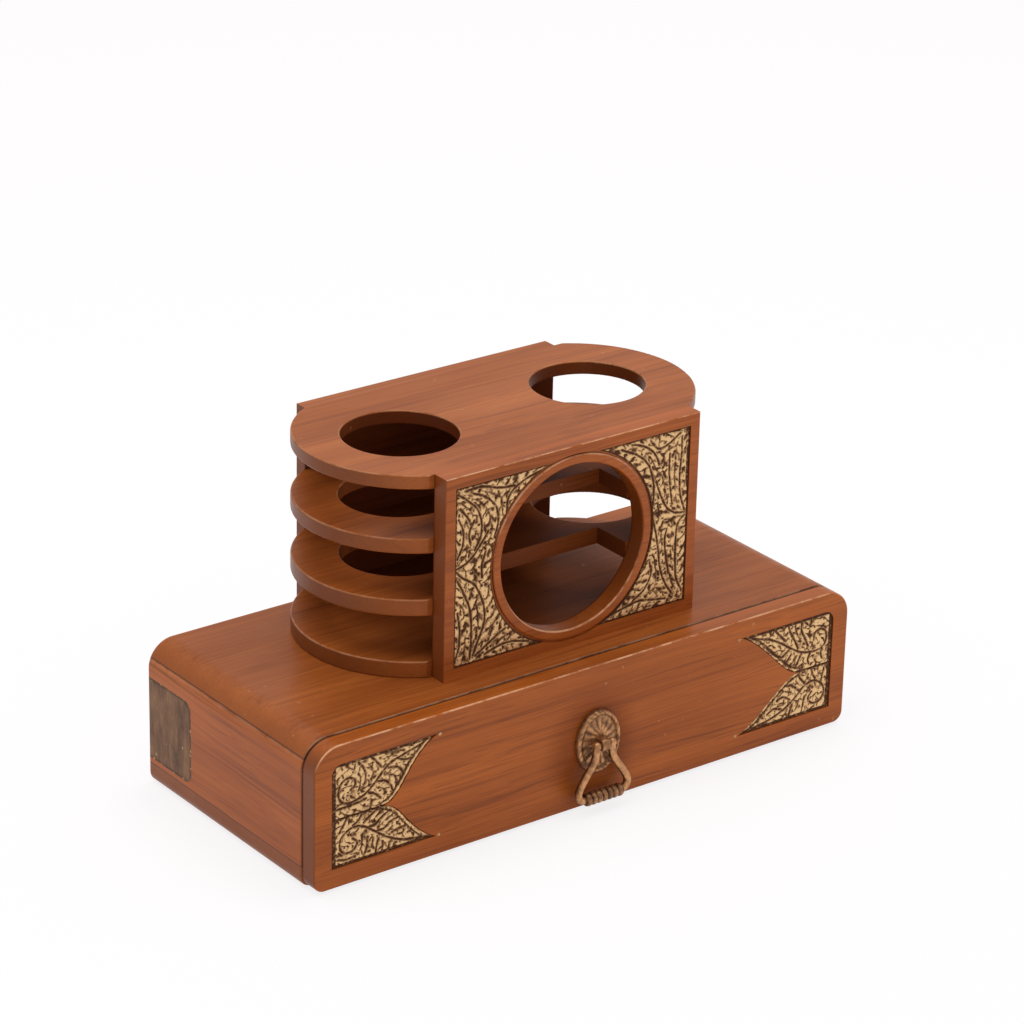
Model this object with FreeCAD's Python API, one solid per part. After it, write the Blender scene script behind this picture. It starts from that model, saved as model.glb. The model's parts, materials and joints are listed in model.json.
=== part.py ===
import FreeCAD, Part
import math
import os

# Pen stand with a drawer, in sheesham wood with embossed brass inlays.
#
# A low case holds one full-width drawer. On its top stands an open holder: a front plate with a
# round window, a plain back plate, and four shelves between them whose ends bow out past the plates.
# Pens drop through two large holes in the three upper shelves and stand on the floor shelf.
#
# Frame: millimetres. X runs to the right along the drawer front, Y runs to the back, Z runs up.
# The origin is on the table, at the middle of the stand's footprint.

# ---------------------------------------------------------------------------- case
stand_length = 254.0
stand_depth = 112.8
case_height = 59.2
case_top_radius = 11.0
case_foot_radius = 4.5
case_edge_ease = 1.4
case_front_ease = 0.8
top_board_thickness = 6.5
bottom_board_thickness = 8.9
side_board_thickness = 7.0
back_board_thickness = 6.5
case_dowel_radius = 1.25
case_dowel_inset = 5.0
case_dowel_end_distance = 20.0
case_dowel_top_depth = 2.5
case_dowel_foot_depth = 4.0
case_dowel_side_depth = 8.0

# ---------------------------------------------------------------------------- rear corner plates
corner_plate_length = 30.2
corner_plate_height = 34.0
corner_plate_bottom = 11.0
corner_plate_thickness = 0.8
corner_plate_radius = 4.2

# ---------------------------------------------------------------------------- drawer
drawer_front_thickness = 7.6
drawer_front_ease = 0.7
drawer_front_gap = 1.0
drawer_front_lift = 1.1
drawer_wall_thickness = 5.0
drawer_wall_height = 38.0
drawer_side_gap = 0.6
drawer_floor_gap = 0.3
drawer_rear_gap = 2.5
drawer_bottom_thickness = 3.0
drawer_groove_depth = 2.0
drawer_groove_height = 3.0
drawer_groove_clearance = 0.05
drawer_dowel_radius = 1.5
drawer_dowel_front_depth = 4.0
drawer_dowel_side_depth = 9.0
drawer_dowel_edge_distance = 10.0

# ---------------------------------------------------------------------------- holder
# The holder is fitted by hand: its plates and shelves stand a little to the right of the middle.
front_plate_offset = 4.0
back_plate_offset = 0.4
shelf_offset = 2.1
pen_hole_offset = 1.5
notch_offset = 3.6
holder_setback = 19.9
holder_height = 82.0
front_plate_length = 119.4
back_plate_length = 118.6
front_plate_thickness = 7.4
back_plate_thickness = 6.2
plate_ease = 0.5
shelf_pitch = 25.33
shelf_length = 169.6
shelf_end_radius = 45.4
shelf_end_setback = 0.7
shelf_ease = 0.7
pen_hole_radius = 22.5
pen_hole_spacing = 89.6
pen_hole_ease = 0.6
notch_length = 63.0
notch_depth = 17.5
shelf_dowel_radius = 1.5
shelf_dowel_spacing = 92.0
shelf_dowel_plate_depth = 4.0
shelf_dowel_shelf_depth = 8.0
dowel_clearance = 0.03
screw_radius = 1.25
screw_head_radius = 2.6
screw_head_height = 1.5
screw_length = 10.5
screw_spacing_x = 88.0
screw_spacing_y = 50.0
screw_clearance = 0.04

# ---------------------------------------------------------------------------- window and its frame
window_radius = 33.7
window_centre_height = 40.5
window_ring_width = 3.8
window_ring_ease = 0.8
ring_groove_width = 0.7
ring_groove_depth = 1.0
stile_width = 4.5
rail_width = 4.6

# ---------------------------------------------------------------------------- brass inlays
inlay_thickness = 1.2
inlay_recess = 1.5
inlay_clearance = 0.08
leaf_end_inset = 7.5
leaf_tip_inset = 54.5
leaf_top_margin = 7.8
leaf_foot_margin = 9.1
leaf_split_height = 28.8
leaf_corner_radius = 4.5
leaf_left_waist = 31.0
leaf_right_waist = 25.0
leaf_belly_reach = 8.5
leaf_belly_rise = 1.5
leaf_neck_reach = 13.5
leaf_neck_drop = 6.5
leaf_tip_relief = 5.0
tip_pin_radius = 0.7
tip_pin_length = 5.0
tip_pin_distance = 1.1
tip_pin_margin = 0.4
tip_pin_clearance = 0.03

# ---------------------------------------------------------------------------- drop pull
pull_offset = 2.0
pull_pivot_height = 27.9
pull_pivot_distance = 5.0
pull_plate_width = 20.6
pull_plate_height = 26.0
pull_plate_thickness = 1.7
pull_rim_width = 2.0
pull_rim_rise = 0.9
pull_rim_ease = 0.6
lug_width = 3.8
lug_radius = 2.4
lug_ease = 0.5
stud_radius = 2.0
stud_clearance = 0.1
stud_spare_length = 1.4
washer_radius = 4.5
washer_thickness = 0.8
nut_across_flats = 7.0
nut_thickness = 3.0
nut_clearance = 0.03
bail_pin_radius = 1.0
bail_pin_clearance = 0.06
bail_pin_depth = 1.6
bail_side_gap = 0.3
bail_eye_radius = 1.8
bail_eye_ease = 0.35
bail_arm_radius = 1.5
bail_width = 26.4
bail_drop = 21.6
bail_neck_drop = 6.0
bail_neck_flare = 0.6
bail_shoulder_rise = 5.2
bail_foot_inset = 0.6
bail_corner_radius = 2.6
grip_radius = 2.3
grip_length = 17.5
grip_bead_count = 7
grip_bead_radius = 2.6
grip_bead_ease = 0.6

# ---------------------------------------------------------------------------- places that follow
front_y = -stand_depth / 2
back_y = stand_depth / 2
end_x = stand_length / 2
case_front_y = front_y + drawer_front_thickness + drawer_front_gap
side_inner_x = end_x - side_board_thickness
top_board_z = case_height - top_board_thickness
case_inner_back_y = back_y - back_board_thickness

plate_front_y = front_y + holder_setback
plate_inner_front_y = plate_front_y + front_plate_thickness
plate_inner_back_y = back_y - back_plate_thickness
holder_mid_y = (plate_inner_front_y + plate_inner_back_y) / 2
holder_top_z = case_height + holder_height
window_z = case_height + window_centre_height
ring_radius = window_radius + window_ring_width

pull_y = front_y - pull_pivot_distance
bail_grip_z = pull_pivot_height - bail_drop

# The shelves from the case upwards, with their thicknesses. The two thicker boards lie lowest.
SHELF_THICKNESSES = {"floor": 6.8, "lower": 6.8, "upper": 6.1, "top": 5.6}
# How far each pen hole, left then right, was cut to the right of and behind its nominal place.
PEN_HOLE_SHIFTS = {
    "lower": ((1.6, 2.2), (2.3, 1.3)),
    "upper": ((0.6, 1.6), (2.4, 3.4)),
    "top": ((0.0, -0.3), (0.0, 1.0)),
}
NUT_SIDES = 6
TOLERANCE = 1e-4
# A cutting tool runs this far past the face it opens.
OVERSHOOT = 5.0


# ---------------------------------------------------------------------------- helpers
def vector(x, y, z):
    return FreeCAD.Vector(x, y, z)


def block(x0, x1, y0, y1, z0, z1):
    """A box between two corners."""
    return Part.makeBox(x1 - x0, y1 - y0, z1 - z0, vector(x0, y0, z0))


def rod(radius, length, start, direction):
    """A cylinder that grows from start along direction."""
    return Part.makeCylinder(radius, length, vector(*start), vector(*direction))


def edges_in_plane(shape, axis, value):
    """The edges that lie flat at one value of X, Y or Z."""
    found = []
    for edge in shape.Edges:
        box = edge.BoundBox
        low = getattr(box, axis + "Min")
        high = getattr(box, axis + "Max")
        if abs(low - value) < TOLERANCE and abs(high - value) < TOLERANCE:
            found.append(edge)
    return found


def edges_along(shape, axis):
    """The straight edges that run along X, Y or Z."""
    lengths = {"X": "XLength", "Y": "YLength", "Z": "ZLength"}
    across = [name for key, name in lengths.items() if key != axis]
    found = []
    for edge in shape.Edges:
        box = edge.BoundBox
        if all(getattr(box, name) < TOLERANCE for name in across):
            found.append(edge)
    return found


def line(start, end):
    return Part.LineSegment(start, end).toShape()


def arc(start, middle, end):
    return Part.Arc(start, middle, end).toShape()


def save(name, shape):
    shape.exportStep("parts/" + name + ".step")


def save_group(name, solids):
    save(name, Part.makeCompound(solids))


# ---------------------------------------------------------------------------- case
def rounded_case_block(y0, y1, z0):
    """The outline that the case and the drawer front share, between two planes."""
    solid = block(-end_x, end_x, y0, y1, z0, case_height)
    for radius, height in ((case_top_radius, case_height), (case_foot_radius, z0)):
        corners = [edge for edge in edges_along(solid, "Y") if abs(edge.BoundBox.ZMin - height) < TOLERANCE]
        solid = solid.makeFillet(radius, corners)
    return solid


def case_block():
    solid = rounded_case_block(case_front_y, back_y, 0.0)
    solid = solid.makeFillet(case_front_ease, edges_in_plane(solid, "Y", case_front_y))
    return solid.makeFillet(case_edge_ease, edges_in_plane(solid, "Y", back_y))


def case_dowel_places():
    """Where a dowel joins a side board to the top and bottom boards: (x, y)."""
    near = case_front_y + case_dowel_end_distance
    far = back_y - case_dowel_end_distance
    dowel_x = end_x - case_dowel_inset
    return [(sign * dowel_x, y) for sign in (-1, 1) for y in (near, far)]


def case_dowels(clearance=0.0):
    radius = case_dowel_radius + clearance
    solids = []
    for x, y in case_dowel_places():
        low = bottom_board_thickness - case_dowel_foot_depth
        solids.append(rod(radius, case_dowel_foot_depth + case_dowel_side_depth, (x, y, low), (0, 0, 1)))
        high = top_board_z - case_dowel_side_depth
        solids.append(rod(radius, case_dowel_side_depth + case_dowel_top_depth, (x, y, high), (0, 0, 1)))
    return solids


def corner_plate(sign):
    """A thin brass angle let in flush round one rear corner. sign is -1 for the left."""
    outer_x = sign * end_x
    inner_x = sign * (end_x - corner_plate_length)
    z0 = corner_plate_bottom
    z1 = z0 + corner_plate_height
    low_x, high_x = sorted((outer_x, inner_x))
    solid = block(low_x, high_x, back_y - corner_plate_length, back_y, z0, z1)
    bend = [edge for edge in edges_along(solid, "Z")
            if abs(edge.BoundBox.XMin - outer_x) < TOLERANCE and abs(edge.BoundBox.YMin - back_y) < TOLERANCE]
    solid = solid.makeFillet(case_edge_ease, bend)
    inside_x = sign * (end_x - corner_plate_thickness)
    past_x = sign * (end_x - corner_plate_length - OVERSHOOT)
    low_x, high_x = sorted((inside_x, past_x))
    inside = block(low_x, high_x, back_y - corner_plate_length - OVERSHOOT,
                   back_y - corner_plate_thickness, z0 - OVERSHOOT, z1 + OVERSHOOT)
    bend = [edge for edge in edges_along(inside, "Z")
            if abs(edge.BoundBox.XMin - inside_x) < TOLERANCE
            and abs(edge.BoundBox.YMin - (back_y - corner_plate_thickness)) < TOLERANCE]
    inside = inside.makeFillet(case_edge_ease - corner_plate_thickness, bend)
    solid = solid.cut(inside)
    corners = []
    for axis, place in (("X", inner_x), ("Y", back_y - corner_plate_length)):
        for edge in edges_in_plane(solid, axis, place):
            box = edge.BoundBox
            if box.ZLength < TOLERANCE and edge.Length < 2 * corner_plate_thickness:
                corners.append(edge)
    return solid.makeFillet(corner_plate_radius, corners)


def make_case():
    body = case_block()
    holes = case_dowels(dowel_clearance)
    plates = {"left": corner_plate(-1), "right": corner_plate(1)}
    pockets = holes + list(plates.values()) + holder_screws(screw_clearance)
    reach = OVERSHOOT + stand_length
    boards = {
        "case_bottom_board": block(-reach, reach, -reach, reach, -OVERSHOOT, bottom_board_thickness),
        "case_top_board": block(-reach, reach, -reach, reach, top_board_z, case_height + OVERSHOOT),
        "case_left_side": block(-reach, -side_inner_x, -reach, reach, bottom_board_thickness, top_board_z),
        "case_right_side": block(side_inner_x, reach, -reach, reach, bottom_board_thickness, top_board_z),
        "case_back_board": block(-side_inner_x, side_inner_x, case_inner_back_y, reach,
                                 bottom_board_thickness, top_board_z),
    }
    for name, zone in boards.items():
        save(name, body.common(zone).cut(pockets))
    save_group("case_dowels", case_dowels())
    for side, plate in plates.items():
        save("rear_" + side + "_corner_plate", plate)


# ---------------------------------------------------------------------------- holder
def shelf_levels():
    """The underside of each shelf. The lowest lies on the case, the highest is level with the plates."""
    levels = {name: case_height + number * shelf_pitch for number, name in enumerate(SHELF_THICKNESSES)}
    levels["top"] = holder_top_z - SHELF_THICKNESSES["top"]
    return levels


def shelf_straight_half(y):
    """Half the length of a shelf's straight edge at y, where its two end arcs meet a plate."""
    end_centre = shelf_length / 2 - shelf_end_radius
    reach = y - holder_mid_y - shelf_end_setback
    return end_centre + math.sqrt(shelf_end_radius ** 2 - reach ** 2)


def shelf_outline():
    """Straight along both plates, with ends that bow out as arcs, a little more at the back."""
    front_half = shelf_straight_half(plate_inner_front_y)
    back_half = shelf_straight_half(plate_inner_back_y)
    front_left = vector(shelf_offset - front_half, plate_inner_front_y, 0)
    front_right = vector(shelf_offset + front_half, plate_inner_front_y, 0)
    back_left = vector(shelf_offset - back_half, plate_inner_back_y, 0)
    back_right = vector(shelf_offset + back_half, plate_inner_back_y, 0)
    end_y = holder_mid_y + shelf_end_setback
    left_end = vector(shelf_offset - shelf_length / 2, end_y, 0)
    right_end = vector(shelf_offset + shelf_length / 2, end_y, 0)
    return Part.Wire([line(front_left, front_right), arc(front_right, right_end, back_right),
                      line(back_right, back_left), arc(back_left, left_end, front_left)])


def pen_hole_places(name):
    """The centres of a shelf's two pen holes, left then right: (x, y)."""
    places = []
    for sign, (right, back) in zip((-1, 1), PEN_HOLE_SHIFTS[name]):
        places.append((pen_hole_offset + sign * pen_hole_spacing / 2 + right, holder_mid_y + back))
    return places


def shelf_dowels(clearance=0.0):
    """Dowels from both plates into the front and back edge of every shelf."""
    radius = shelf_dowel_radius + clearance
    length = shelf_dowel_plate_depth + shelf_dowel_shelf_depth
    front_start = plate_inner_front_y - shelf_dowel_plate_depth
    back_start = plate_inner_back_y + shelf_dowel_plate_depth
    solids = []
    for name, level in shelf_levels().items():
        for sign in (-1, 1):
            x = shelf_offset + sign * shelf_dowel_spacing / 2
            z = level + SHELF_THICKNESSES[name] / 2
            solids.append(rod(radius, length, (x, front_start, z), (0, 1, 0)))
            solids.append(rod(radius, length, (x, back_start, z), (0, -1, 0)))
    return solids


def holder_screws(clearance=0.0):
    """Countersunk screws that come up through the case's top board into the floor shelf."""
    solids = []
    for sign_x in (-1, 1):
        for sign_y in (-1, 1):
            x = shelf_offset + sign_x * screw_spacing_x / 2
            y = holder_mid_y + sign_y * screw_spacing_y / 2
            head = Part.makeCone(screw_head_radius + clearance, screw_radius + clearance, screw_head_height,
                                 vector(x, y, top_board_z), vector(0, 0, 1))
            shank = rod(screw_radius + clearance, screw_length, (x, y, top_board_z), (0, 0, 1))
            solids.append(head.fuse(shank).removeSplitter())
    return solids


def shelf(name, level):
    thickness = SHELF_THICKNESSES[name]
    solid = Part.Face(shelf_outline()).extrude(vector(0, 0, thickness))
    bowed = []
    for height in (0.0, thickness):
        bowed += [edge for edge in edges_in_plane(solid, "Z", height) if edge.BoundBox.XLength < shelf_length / 2
                  and edge.BoundBox.YLength > TOLERANCE]
    solid = solid.makeFillet(shelf_ease, bowed)
    if name in PEN_HOLE_SHIFTS:
        for x, y in pen_hole_places(name):
            hole = rod(pen_hole_radius, thickness + 2 * OVERSHOOT, (x, y, -OVERSHOOT), (0, 0, 1))
            solid = solid.cut(hole)
        rims = [edge for height in (0.0, thickness) for edge in edges_in_plane(solid, "Z", height)
                if edge.Closed]
        solid = solid.makeFillet(pen_hole_ease, rims)
    if name in ("lower", "upper"):
        notch = block(notch_offset - notch_length / 2, notch_offset + notch_length / 2,
                      plate_inner_front_y - OVERSHOOT, plate_inner_front_y + notch_depth,
                      -OVERSHOOT, thickness + OVERSHOOT)
        solid = solid.cut(notch)
    solid.translate(vector(0, 0, level))
    return solid


def plain_plate(offset, length, outer_y, inner_y):
    """A holder plate, eased along the upright and top edges of its outer face."""
    solid = block(offset - length / 2, offset + length / 2, min(outer_y, inner_y), max(outer_y, inner_y),
                  case_height, holder_top_z)
    eased = [edge for edge in edges_in_plane(solid, "Y", outer_y) if edge.BoundBox.ZMax > case_height + TOLERANCE]
    return solid.makeFillet(plate_ease, eased)


def window_recess(sign, depth, clearance=0.0):
    """The sunk field on one side of the window, between the frame and the ring."""
    low_z = case_height + rail_width + clearance
    high_z = holder_top_z - rail_width - clearance
    side_x = front_plate_offset + sign * (front_plate_length / 2 - stile_width - clearance)
    low_x, high_x = sorted((front_plate_offset, side_x))
    field = block(low_x, high_x, plate_front_y, plate_front_y + depth, low_z, high_z)
    disc = rod(ring_radius + ring_groove_width + clearance, depth + 2 * OVERSHOOT,
               (front_plate_offset, plate_front_y - OVERSHOOT, window_z), (0, 1, 0))
    return field.cut(disc)


def holder_front_plate():
    solid = plain_plate(front_plate_offset, front_plate_length, plate_front_y, plate_inner_front_y)
    centre = (front_plate_offset, plate_front_y - OVERSHOOT, window_z)
    solid = solid.cut(rod(window_radius, front_plate_thickness + 2 * OVERSHOOT, centre, (0, 1, 0)))
    groove = rod(ring_radius + ring_groove_width, OVERSHOOT + ring_groove_depth, centre, (0, 1, 0))
    ring = rod(ring_radius, OVERSHOOT + ring_groove_depth, centre, (0, 1, 0))
    solid = solid.cut(groove.cut(ring))
    rims = [edge for edge in edges_in_plane(solid, "Y", plate_front_y)
            if edge.BoundBox.XLength < 2 * ring_radius + TOLERANCE and edge.Closed]
    solid = solid.makeFillet(window_ring_ease, rims)
    for sign in (-1, 1):
        solid = solid.cut(window_recess(sign, inlay_recess))
    return solid


def window_inlay(sign):
    solid = window_recess(sign, inlay_thickness, inlay_clearance)
    solid.translate(vector(0, inlay_recess - inlay_thickness, 0))
    return solid


def make_holder():
    dowel_holes = shelf_dowels(dowel_clearance)
    screw_holes = holder_screws(screw_clearance)
    for name, level in shelf_levels().items():
        holes = dowel_holes + screw_holes if name == "floor" else dowel_holes
        save("holder_" + name + "_shelf", shelf(name, level).cut(holes))
    save("holder_front_plate", holder_front_plate().cut(dowel_holes))
    back_plate = plain_plate(back_plate_offset, back_plate_length, back_y, plate_inner_back_y)
    save("holder_back_plate", back_plate.cut(dowel_holes))
    save_group("shelf_dowels", shelf_dowels())
    save_group("holder_screws", holder_screws())
    save("window_inlay_left", window_inlay(-1))
    save("window_inlay_right", window_inlay(1))


# ---------------------------------------------------------------------------- drawer
box_half_width = side_inner_x - drawer_side_gap
box_front_y = front_y + drawer_front_thickness
box_back_y = case_inner_back_y - drawer_rear_gap
box_floor_z = bottom_board_thickness + drawer_floor_gap
box_top_z = box_floor_z + drawer_wall_height
groove_z = box_floor_z + drawer_groove_height


def leaf_outline(sign, upper, clearance=0.0):
    """One leaf: straight along the end and the long side, an S-shaped inner edge from waist to tip.

    The two leaves of an end meet in one pocket at the split height. A clearance draws every side in. The
    thin tip is drawn back by a multiple of it.
    """
    waist = (leaf_left_waist if sign < 0 else leaf_right_waist) - clearance
    tip_inset = leaf_tip_inset - leaf_tip_relief * clearance
    if upper:
        rise = 1.0
        outer_z = case_height - leaf_top_margin - clearance
        split_z = leaf_split_height + clearance
    else:
        rise = -1.0
        outer_z = leaf_foot_margin + clearance
        split_z = leaf_split_height - clearance

    def place(inset, z):
        return vector(sign * (end_x - inset), front_y, z)

    end_inset = leaf_end_inset + clearance
    waist_point = place(waist, split_z)
    tip = place(tip_inset, outer_z)
    belly = place(waist + leaf_belly_reach, split_z + rise * leaf_belly_rise)
    neck = place(tip_inset - leaf_neck_reach, outer_z - rise * leaf_neck_drop)
    inner_edge = Part.BezierCurve()
    inner_edge.setPoles([waist_point, belly, neck, tip])
    edges = [inner_edge.toShape()]
    if upper:
        radius = leaf_corner_radius
        near = radius * (1 - math.sqrt(0.5))
        on_side = place(end_inset + radius, outer_z)
        middle = place(end_inset + near, outer_z - near)
        corner = place(end_inset, outer_z - radius)
        edges += [line(tip, on_side), arc(on_side, middle, corner)]
    else:
        corner = place(end_inset, outer_z)
        edges += [line(tip, corner)]
    split_end = place(end_inset, split_z)
    edges += [line(corner, split_end), line(split_end, waist_point)]
    return edges


def leaf_solid(sign, upper, depth, clearance=0.0):
    face = Part.Face(Part.Wire(leaf_outline(sign, upper, clearance)))
    return face.extrude(vector(0, depth, 0))


def leaf_inlay(sign, upper):
    solid = leaf_solid(sign, upper, inlay_thickness, inlay_clearance)
    solid.translate(vector(0, inlay_recess - inlay_thickness, 0))
    return solid


LEAVES = {
    "leaf_inlay_upper_left": (-1, True),
    "leaf_inlay_lower_left": (-1, False),
    "leaf_inlay_upper_right": (1, True),
    "leaf_inlay_lower_right": (1, False),
}


def tip_pins(clearance=0.0):
    """A small brass pin just past the tip of each leaf, level with the wood."""
    solids = []
    for sign, upper in LEAVES.values():
        x = sign * (end_x - leaf_tip_inset - tip_pin_distance)
        z = case_height - leaf_top_margin - tip_pin_margin if upper else leaf_foot_margin + tip_pin_margin
        solids.append(rod(tip_pin_radius + clearance, tip_pin_length, (x, front_y, z), (0, 1, 0)))
    return solids


def drawer_dowels(clearance=0.0):
    """Dowels that join the sides to the front, two in each side."""
    radius = drawer_dowel_radius + clearance
    length = drawer_dowel_front_depth + drawer_dowel_side_depth
    solids = []
    for sign in (-1, 1):
        x = sign * (box_half_width - drawer_wall_thickness / 2)
        for z in (groove_z + drawer_dowel_edge_distance, box_top_z - drawer_dowel_edge_distance):
            solids.append(rod(radius, length, (x, box_front_y - drawer_dowel_front_depth, z), (0, 1, 0)))
    return solids


def drawer_bottom(clearance=0.0):
    """The thin bottom panel, housed in grooves on all four sides."""
    reach = drawer_groove_depth + clearance
    half = box_half_width - drawer_wall_thickness + reach
    back = box_back_y - drawer_wall_thickness + reach
    return block(-half, half, box_front_y - reach, back,
                 groove_z - clearance, groove_z + drawer_bottom_thickness + clearance)


def drawer_front():
    solid = rounded_case_block(front_y, box_front_y, drawer_front_lift)
    solid = solid.makeFillet(drawer_front_ease, edges_in_plane(solid, "Y", front_y))
    leaves = [leaf_solid(sign, upper, inlay_recess) for sign, upper in LEAVES.values()]
    stud_hole = rod(stud_radius + stud_clearance, drawer_front_thickness + 2 * OVERSHOOT,
                    (pull_offset, front_y - OVERSHOOT, pull_pivot_height), (0, 1, 0))
    cuts = leaves + tip_pins(tip_pin_clearance) + drawer_dowels(dowel_clearance)
    return solid.cut(cuts + [stud_hole, drawer_bottom(drawer_groove_clearance)])


def make_drawer():
    save("drawer_front", drawer_front())
    groove = drawer_bottom(drawer_groove_clearance)
    inner = box_half_width - drawer_wall_thickness
    sides = {"drawer_left_side": (-box_half_width, -inner), "drawer_right_side": (inner, box_half_width)}
    for name, (x0, x1) in sides.items():
        wall = block(x0, x1, box_front_y, box_back_y, box_floor_z, box_top_z)
        save(name, wall.cut([groove] + drawer_dowels(dowel_clearance)))
    back = block(-inner, inner, box_back_y - drawer_wall_thickness, box_back_y, box_floor_z, box_top_z)
    save("drawer_back", back.cut(groove))
    save("drawer_bottom", drawer_bottom())
    save_group("drawer_dowels", drawer_dowels())
    for name, (sign, upper) in LEAVES.items():
        save(name, leaf_inlay(sign, upper))
    save_group("leaf_tip_pins", tip_pins())


# ---------------------------------------------------------------------------- drop pull
def oval(width, height, y, thickness):
    """An upright oval plate, centred on the pull's stud."""
    ellipse = Part.Ellipse(vector(0, 0, 0), height / 2, width / 2)
    face = Part.Face(Part.Wire(ellipse.toShape()))
    face.rotate(vector(0, 0, 0), vector(0, 1, 0), -90)
    face.rotate(vector(0, 0, 0), vector(0, 0, 1), -90)
    face.translate(vector(pull_offset, y, pull_pivot_height))
    return face.extrude(vector(0, thickness, 0))


def pull_backplate():
    rim_y = front_y - pull_plate_thickness - pull_rim_rise
    solid = oval(pull_plate_width, pull_plate_height, rim_y, pull_plate_thickness + pull_rim_rise)
    dish = oval(pull_plate_width - 2 * pull_rim_width, pull_plate_height - 2 * pull_rim_width,
                rim_y - OVERSHOOT, OVERSHOOT + pull_rim_rise)
    solid = solid.cut(dish)
    solid = solid.makeFillet(pull_rim_ease, edges_in_plane(solid, "Y", rim_y))
    hole = rod(stud_radius + stud_clearance, pull_plate_thickness + 2 * OVERSHOOT,
               (pull_offset, front_y - pull_plate_thickness - OVERSHOOT, pull_pivot_height), (0, 1, 0))
    return solid.cut(hole)


def pull_stem():
    """The lug that carries the bail, a strap curled round its pins, with a stud that goes through the front."""
    seat_y = front_y - pull_plate_thickness
    left_x, right_x = pull_offset - lug_width / 2, pull_offset + lug_width / 2
    strap = block(left_x, right_x, pull_y, seat_y, pull_pivot_height - lug_radius, pull_pivot_height + lug_radius)
    curl = rod(lug_radius, lug_width, (left_x, pull_y, pull_pivot_height), (1, 0, 0))
    lug = strap.fuse(curl).removeSplitter()
    rims = [edge for side in (left_x, right_x) for edge in edges_in_plane(lug, "X", side)
            if edge.BoundBox.YLength > TOLERANCE]
    lug = lug.makeFillet(lug_ease, rims)
    cross_hole = rod(bail_pin_radius + bail_pin_clearance, lug_width + 2 * OVERSHOOT,
                     (left_x - OVERSHOOT, pull_y, pull_pivot_height), (1, 0, 0))
    length = (pull_plate_thickness + drawer_front_thickness + washer_thickness
              + nut_thickness + stud_spare_length)
    stud = rod(stud_radius, length, (pull_offset, seat_y, pull_pivot_height), (0, 1, 0))
    return lug.cut(cross_hole).fuse(stud).removeSplitter()


def pull_washer():
    centre = (pull_offset, box_front_y, pull_pivot_height)
    disc = rod(washer_radius, washer_thickness, centre, (0, 1, 0))
    return disc.cut(rod(stud_radius + stud_clearance, washer_thickness, centre, (0, 1, 0)))


def pull_nut():
    y = box_front_y + washer_thickness
    corner_radius = nut_across_flats / math.sqrt(3)
    corners = []
    for number in range(NUT_SIDES + 1):
        angle = 2 * math.pi * (number + 0.5) / NUT_SIDES
        corners.append(vector(pull_offset + corner_radius * math.cos(angle), y,
                              pull_pivot_height + corner_radius * math.sin(angle)))
    solid = Part.Face(Part.makePolygon(corners)).extrude(vector(0, nut_thickness, 0))
    bore = rod(stud_radius + nut_clearance, nut_thickness, (pull_offset, y, pull_pivot_height), (0, 1, 0))
    return solid.cut(bore)


def rounded_path(points, radii):
    """Straight runs joined by tangent arcs. radii holds one radius for each inner point."""
    edges = []
    start = points[0]
    for number, radius in enumerate(radii, 1):
        corner = points[number]
        into = (corner - points[number - 1]).normalize()
        out = (points[number + 1] - corner).normalize()
        half_turn = into.getAngle(out) / 2
        setback = radius * math.tan(half_turn)
        first = corner - into * setback
        last = corner + out * setback
        inward = (out - into).normalize()
        middle = corner + inward * (radius / math.cos(half_turn) - radius)
        edges += [line(start, first), arc(first, middle, last)]
        start = last
    edges.append(line(start, points[-1]))
    return Part.Wire(edges)


def pull_bail():
    """A stirrup: two eyes beside the lug, arms that flare downwards, and a beaded grip."""
    eye_inner = lug_width / 2 + bail_side_gap
    eye_width = 2 * bail_arm_radius
    arm_top = eye_inner + bail_arm_radius
    arm_bottom = bail_width / 2 - bail_arm_radius

    def at(x, z):
        return vector(pull_offset + x, pull_y, z)

    neck_z = pull_pivot_height - bail_neck_drop
    shoulder_z = bail_grip_z + bail_shoulder_rise
    neck = arm_top + bail_neck_flare
    right = [at(arm_top, pull_pivot_height), at(neck, neck_z), at(arm_bottom, shoulder_z),
             at(arm_bottom - bail_foot_inset, bail_grip_z)]
    left = [at(-(point.x - pull_offset), point.z) for point in right]
    points = right + left[::-1]
    path = rounded_path(points, [bail_corner_radius for _ in points[1:-1]])
    section = Part.Wire(Part.Circle(right[0], vector(0, 0, 1), bail_arm_radius).toShape())
    solid = path.makePipeShell([section], True, False)
    grip = rod(grip_radius, grip_length, at(-grip_length / 2, bail_grip_z), (1, 0, 0))
    pieces = [grip]
    pitch = grip_length / grip_bead_count
    for number in range(grip_bead_count):
        bead = rod(grip_bead_radius, pitch, at(-grip_length / 2 + number * pitch, bail_grip_z), (1, 0, 0))
        rims = [edge for edge in bead.Edges if edge.BoundBox.XLength < TOLERANCE]
        pieces.append(bead.makeFillet(grip_bead_ease, rims))
    for sign in (-1, 1):
        eye = rod(bail_eye_radius, eye_width, at(sign * eye_inner, pull_pivot_height), (sign, 0, 0))
        rims = [edge for edge in eye.Edges if edge.BoundBox.XLength < TOLERANCE]
        pieces.append(eye.makeFillet(bail_eye_ease, rims))
        pin_start = lug_width / 2 - bail_pin_depth
        pieces.append(rod(bail_pin_radius, eye_inner - pin_start + bail_arm_radius,
                          at(sign * pin_start, pull_pivot_height), (sign, 0, 0)))
    return solid.fuse(pieces).removeSplitter()


def make_pull():
    save("pull_backplate", pull_backplate())
    save("pull_stem", pull_stem())
    save("pull_washer", pull_washer())
    save("pull_nut", pull_nut())
    save("pull_bail", pull_bail())


os.makedirs("parts", exist_ok=True)
make_case()
make_holder()
make_drawer()
make_pull()
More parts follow.
